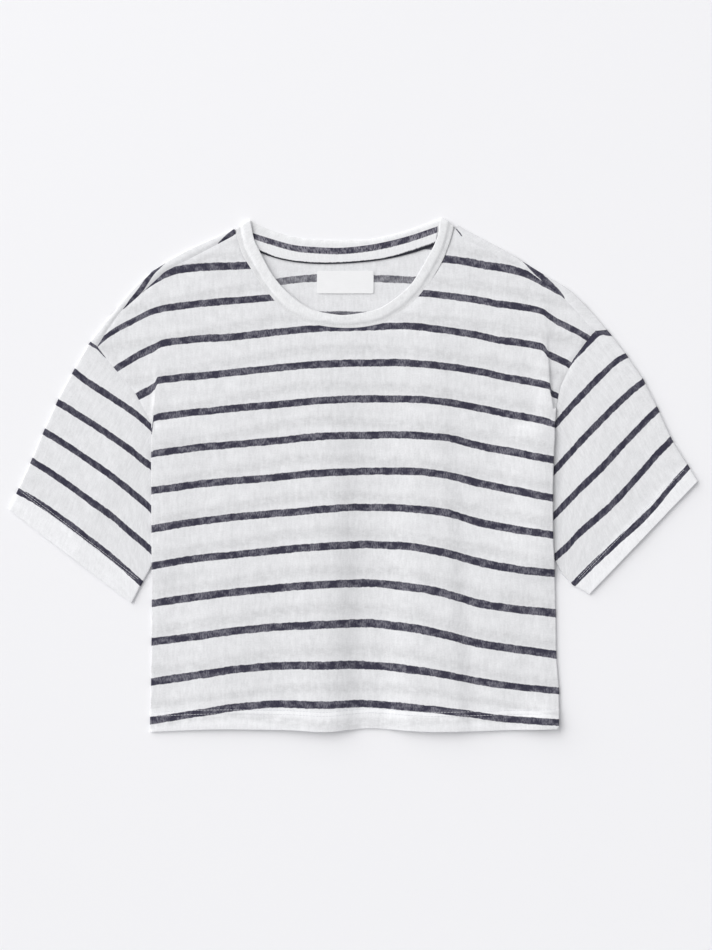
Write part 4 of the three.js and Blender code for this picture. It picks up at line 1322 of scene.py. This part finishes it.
# Section of the neckband: share of its width from the seam inwards, and rise
BAND_OUTER = [(0.0, -0.85), (0.02, -0.70), (0.08, -0.62), (0.16, -0.60), (0.25, -0.62), (0.31, -0.52),
              (0.38, 0.02), (0.46, 0.38), (0.56, 0.50), (0.70, 0.52), (0.86, 0.52), (0.94, 0.51),
              (0.97, 0.48), (0.99, 0.38), (1.0, 0.20), (1.0, -0.3)]
BAND_GROOVE_SHADE = (0.35, 0.24)      # shares between which the painted shade on the sunk part by the seam comes in
BAND_INNER = [(0.98, -0.6), (0.75, -0.65), (0.5, -0.65), (0.25, -0.75), (0.02, -0.85)]
BAND_HEIGHT = {"chest": 3.2, "corner": 4.0, "back": 0.6}
BAND_STATIONS = {"front": 170, "back": 116}
BAND_WIDTH = 15
CORNER_STEPS, CORNER_BULGE = 8, 0.9


def even_count(points, count):
    """Smooth line through the points, in a given number of even steps."""
    line = smooth_line(points, LINE_STEP)
    return even_line(line, line_length(line) / count)[:count + 1]


def neckband():
    """Band in sections along the front of the neck, round a corner, back and round again."""
    count = BAND_STATIONS["front"]
    halves = {"seam": even_count(NECK_SEAM, count), "edge": even_count(NECK_EDGE, count),
              "back_seam": even_count(BACK_NECK_SEAM, BAND_STATIONS["back"])[::-1],
              "back_edge": even_count(BACK_NECK_EDGE, BAND_STATIONS["back"])[::-1]}
    sections = []

    def section(seam, edge, middle, face, unevenness):
        loop = []
        for share, rise in BAND_OUTER + BAND_INNER:
            rise *= unevenness
            loop.append((mix(seam[0], edge[0], share) + face[0] * rise,
                         mix(seam[1], edge[1], share) + face[1] * rise, middle + face[2] * rise))
        sections.append(loop)

    for i, (seam, edge) in enumerate(zip(halves["seam"], halves["edge"])):
        to_corner = abs(i / count - 0.5) * 2
        middle = mix(BAND_HEIGHT["chest"], BAND_HEIGHT["corner"], soft_step(0.5, 0.85, to_corner))
        middle += 0.12 * ripple(seam[0], seam[1], 22, 21.5)
        section(seam, edge, middle, (0, 0, 1), 1 + 0.15 * ripple(seam[0], seam[1], 14, 22.5))
    radius = (BAND_HEIGHT["corner"] - BAND_HEIGHT["back"]) / 2

    def corner(seam, edge, direction):
        out = Vector((-(edge[1] - seam[1]), edge[0] - seam[0])).normalized()
        if out.y < 0:
            out.negate()
        for k in range(1, CORNER_STEPS):
            angle = math.pi * k / CORNER_STEPS
            shift = out * (CORNER_BULGE * math.sin(angle))
            face = (out.x * math.sin(angle), out.y * math.sin(angle), direction * math.cos(angle))
            section((seam[0] + shift.x, seam[1] + shift.y), (edge[0] + shift.x, edge[1] + shift.y),
                    BAND_HEIGHT["back"] + radius + direction * radius * math.cos(angle), face, 1)

    corner(halves["seam"][-1], halves["edge"][-1], 1)
    for seam, edge in zip(halves["back_seam"], halves["back_edge"]):
        section(seam, edge, BAND_HEIGHT["back"] + 0.02, (0, 0, -1), 0.9)
    corner(halves["seam"][0], halves["edge"][0], -1)
    width = len(sections[0])
    points = [p for loop in sections for p in loop]
    yarn, groove_shade = [], []
    for i in range(len(sections)):
        for j, (share, _) in enumerate(BAND_OUTER + BAND_INNER):
            yarn.append((i * 2.0 * MM, j / width * 2 * BAND_WIDTH * MM))
            groove_shade.append((soft_step(*BAND_GROOVE_SHADE, share), 0.0))
    faces = grid_faces(len(sections), width, closed_rows=True, closed_columns=True)
    return cloth_object("neckband_cloth", points, faces, {"yarn": yarn, "groove_shade": groove_shade}, band_cloth)


band_piece = neckband()

# Dark line at the tape's foot: x, and how many times broader it is there
TAPE_FOOT_LINE = [(-97, 1.8), (-90, 1.6), (-80, 1.0), (28, 1.0), (44, 1.4), (58, 2.0), (82, 2.1)]
TAPE_THICKNESS, LABEL_THICKNESS = 0.5, 0.4


def neck_tape():
    """Tape in short columns across it, with a slight crown."""
    count, across = 110, 9
    tops, feet = even_count(TAPE_TOP, count), even_count(TAPE_FOOT, count)
    line_x, line_width = zip(*TAPE_FOOT_LINE)
    points, yarn, stripes = [], [], []
    for i, (top, foot) in enumerate(zip(tops, feet)):
        width = math.dist(top, foot)
        for j in range(across + 1):
            share = j / across
            x, y = mix(top[0], foot[0], share), mix(top[1], foot[1], share)
            crown = 0.22 * math.sin(math.pi * share) ** 0.6
            points.append((x, y, TAPE_LAYER + crown + 0.06 * ripple(x, y, 9, 31.5)))
            yarn.append((i * 1.7 * MM, share * width * MM))
            broader = straight_at(line_x, line_width, x)
            stripes.append((share * width * MM, (1 - share) * width * MM / broader))
    return cloth_object("neck_tape_cloth", points, grid_faces(count + 1, across + 1),
                        {"yarn": yarn, "stripes": stripes}, tape_cloth, TAPE_THICKNESS)


tape_piece = neck_tape()


def blank_label():
    """Label with rounded corners, lying a little uneven."""
    corner = LABEL["corner"]
    reach_x, reach_y = LABEL["width"] / 2 - corner, LABEL["height"] / 2 - corner
    outline = []
    for side_x, side_y, start in ((1, 1, 0), (-1, 1, 1), (-1, -1, 2), (1, -1, 3)):
        for k in range(4):
            angle = (start + k / 3) * math.pi / 2
            outline.append((LABEL["x"] + side_x * reach_x + corner * math.cos(angle),
                            LABEL["y"] + side_y * reach_y + corner * math.sin(angle)))
    outline = even_line(outline + outline[:1], 1.3)[:-1]
    flat, faces, _ = net(outline, 1.5)
    points = [(x, y, LABEL["layer"] + 0.08 * math.cos((x - LABEL["x"]) / 14) + 0.05 * ripple(x, y, 8, 41.5))
              for x, y in flat]
    return cloth_object("blank_label", points, faces, {"yarn": [(x * MM, y * MM) for x, y in flat]},
                        label_cloth, LABEL_THICKNESS)


label_piece = blank_label()


# ---------------------------------------------------------------------------
# Stitches
# ---------------------------------------------------------------------------

STITCH = {"pitch": 3.3, "length": 2.9, "half_width": 0.19, "half_height": 0.16}
STITCH_SIDES = 6
# Rings of a stitch: share of its length from the middle, and share of its full size
STITCH_RINGS = [(-0.5, 0.25), (-0.32, 0.9), (0.0, 1.0), (0.32, 0.9), (0.5, 0.25)]
# Distance of the two rows of stitches from the hem's edge
BODY_NEEDLES = (HEM - 0.5, HEM - 4.5)
SLEEVE_NEEDLES = (HEM - 0.5, HEM - 2.3)
STITCHED_FROM, STITCHED_TO, STITCH_STATIONS = -199.5, 202.0, 200     # across the front's hem


def along_even(line, share):
    """Point at a share of the length of a line of even steps."""
    place = share * (len(line) - 1)
    index = clamp(int(place), 0, len(line) - 2)
    return tuple(mix(p, q, place - index) for p, q in zip(line[index], line[index + 1]))


def stitch_row(name, paths):
    """Separate stitches along lines of points that lie on the cloth."""
    points, faces, yarn = [], [], []
    for path in paths:
        line = even_line(path, 0.8)
        length = line_length(line)
        for k in range(int(length / STITCH["pitch"])):
            centre_at = (k + 0.5) * STITCH["pitch"]
            a = Vector(along_even(line, (centre_at - STITCH["length"] / 2) / length))
            b = Vector(along_even(line, (centre_at + STITCH["length"] / 2) / length))
            middle, forward = (a + b) / 2, (b - a).normalized()
            sideways = forward.cross(Vector((0, 0, 1))).normalized()
            up = sideways.cross(forward)
            first = len(points)
            for share, size in STITCH_RINGS:
                for s in range(STITCH_SIDES):
                    angle = math.tau * s / STITCH_SIDES
                    p = middle + forward * (share * STITCH["length"]) + \
                        sideways * (math.cos(angle) * STITCH["half_width"] * size) + \
                        up * (math.sin(angle) * STITCH["half_height"] * size)
                    points.append(tuple(p))
                    yarn.append((p.x * MM, p.y * MM))
            last = first + (len(STITCH_RINGS) - 1) * STITCH_SIDES
            for base in range(first, last, STITCH_SIDES):
                above = base + STITCH_SIDES
                for s in range(STITCH_SIDES):
                    n = (s + 1) % STITCH_SIDES
                    faces.append((base + s, above + s, above + n, base + n))
            faces.append(tuple(range(first, first + STITCH_SIDES)))
            faces.append(tuple(reversed(range(last, last + STITCH_SIDES))))
    return cloth_object(name, points, faces, {"yarn": yarn}, thread)


def stitch_height(distance):
    """Height of a hem's stitches over the middle of its doubled cloth."""
    return JERSEY * double_cloth([distance])[0] + 0.02


def hem_stitch_path(distance):
    """Line along the front's hem."""
    path = []
    for k in range(STITCH_STATIONS + 1):
        x = mix(STITCHED_FROM, STITCHED_TO, k / STITCH_STATIONS)
        y = hem_line(x) + distance
        path.append((x, y, front_height(x, y) + stitch_height(distance)))
    return path


def sleeve_stitch_path(side, distance):
    """Line across the top layer of a sleeve, found between its rings."""
    ring_points, columns = sleeve_rings[side]
    rings = len(ring_points) // columns
    path = []
    for j in range(2, SLEEVE_ACROSS - 1):
        i = rings - 2
        while above_hem(side, *ring_points[i * columns + j][:2]) < distance:
            i -= 1
        a, b = ring_points[i * columns + j], ring_points[(i + 1) * columns + j]
        far, near = above_hem(side, *a[:2]), above_hem(side, *b[:2])
        x, y, z = (mix(p, q, (far - distance) / (far - near)) for p, q in zip(a, b))
        path.append((x, y, z + stitch_height(distance)))
    return path


hem_stitches = stitch_row("front_hem_stitches", [hem_stitch_path(d) for d in BODY_NEEDLES])
sleeve_stitches = {
    side: stitch_row(f"sleeve_{side}_stitches", [sleeve_stitch_path(side, d) for d in SLEEVE_NEEDLES])
    for side in SLEEVES}


# ---------------------------------------------------------------------------
# What each piece is
# ---------------------------------------------------------------------------

def declare(piece, node):
    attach(piece, "root")
    if node:
        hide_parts(node)


declare(front_piece, "front")
declare(back_piece, "back")
declare(sleeve_pieces["left"], "sleeve_left")
declare(sleeve_pieces["right"], "sleeve_right")
declare(band_piece, "neckband")
declare(tape_piece, "neck_tape")
declare(label_piece, "label")
for stitches in (hem_stitches, *sleeve_stitches.values()):
    declare(stitches, None)


# ---------------------------------------------------------------------------
# Floor, light and camera
# ---------------------------------------------------------------------------

FLOOR_REACH = 3          # metres
WORLD_COLOUR, WORLD_STRENGTH = (0.985, 0.99, 1.0, 1), 0.49
LENS, SENSOR, FIELD = 100.0, 36.0, 0.712         # millimetres, and the view's width in metres
PICTURE_MIDDLE = (356, 475)


def floor():
    f = Finish("pale_floor", 0.8, 0.0, 0.1)
    f.surface.inputs["Base Color"].default_value = FLOOR_PALE
    mesh = bpy.data.meshes.new("floor")
    corners = [(x * FLOOR_REACH, y * FLOOR_REACH, 0) for x, y in ((-1, -1), (1, -1), (1, 1), (-1, 1))]
    mesh.from_pydata(corners, [], [(0, 1, 2, 3)])
    mesh.materials.append(f.material)
    piece = put("floor", mesh)


def lamp(name, kind, energy, source, **settings):
    """Lamp that shines from the direction of its source."""
    light = bpy.data.lights.new(name, kind)
    light.energy = energy
    for key, value in settings.items():
        setattr(light, key, value)
    item = put(name, light)
    item.rotation_euler = Vector(source).to_track_quat("Z", "Y").to_euler()
    return item


floor()

world = bpy.data.worlds.new("studio")
world.use_nodes = True
background = world.node_tree.nodes["Background"]
background.inputs["Color"].default_value = WORLD_COLOUR
background.inputs["Strength"].default_value = WORLD_STRENGTH
bpy.context.scene.world = world

lamp("soft_window", "SUN", 3.28, (-0.75, 0.52, 0.50), angle=math.radians(72), color=(1.0, 0.995, 0.985))
# The upper left corner of the photo is a little brighter than the rest
lamp("corner_glow", "AREA", 1.2, (-0.5, 0.5, 1.0), size=0.8).location = (-0.9, 0.95, 1.0)

camera = bpy.data.cameras.new("camera")
camera.sensor_fit = "HORIZONTAL"
camera.sensor_width = SENSOR
camera.lens = LENS
camera.clip_end = 20
camera_object = put("camera", camera)
camera_object.location = placed(*from_picture(*PICTURE_MIDDLE), FIELD * LENS / SENSOR / MM)
bpy.context.scene.camera = camera_object
bpy.context.scene.view_settings.view_transform = "Standard"
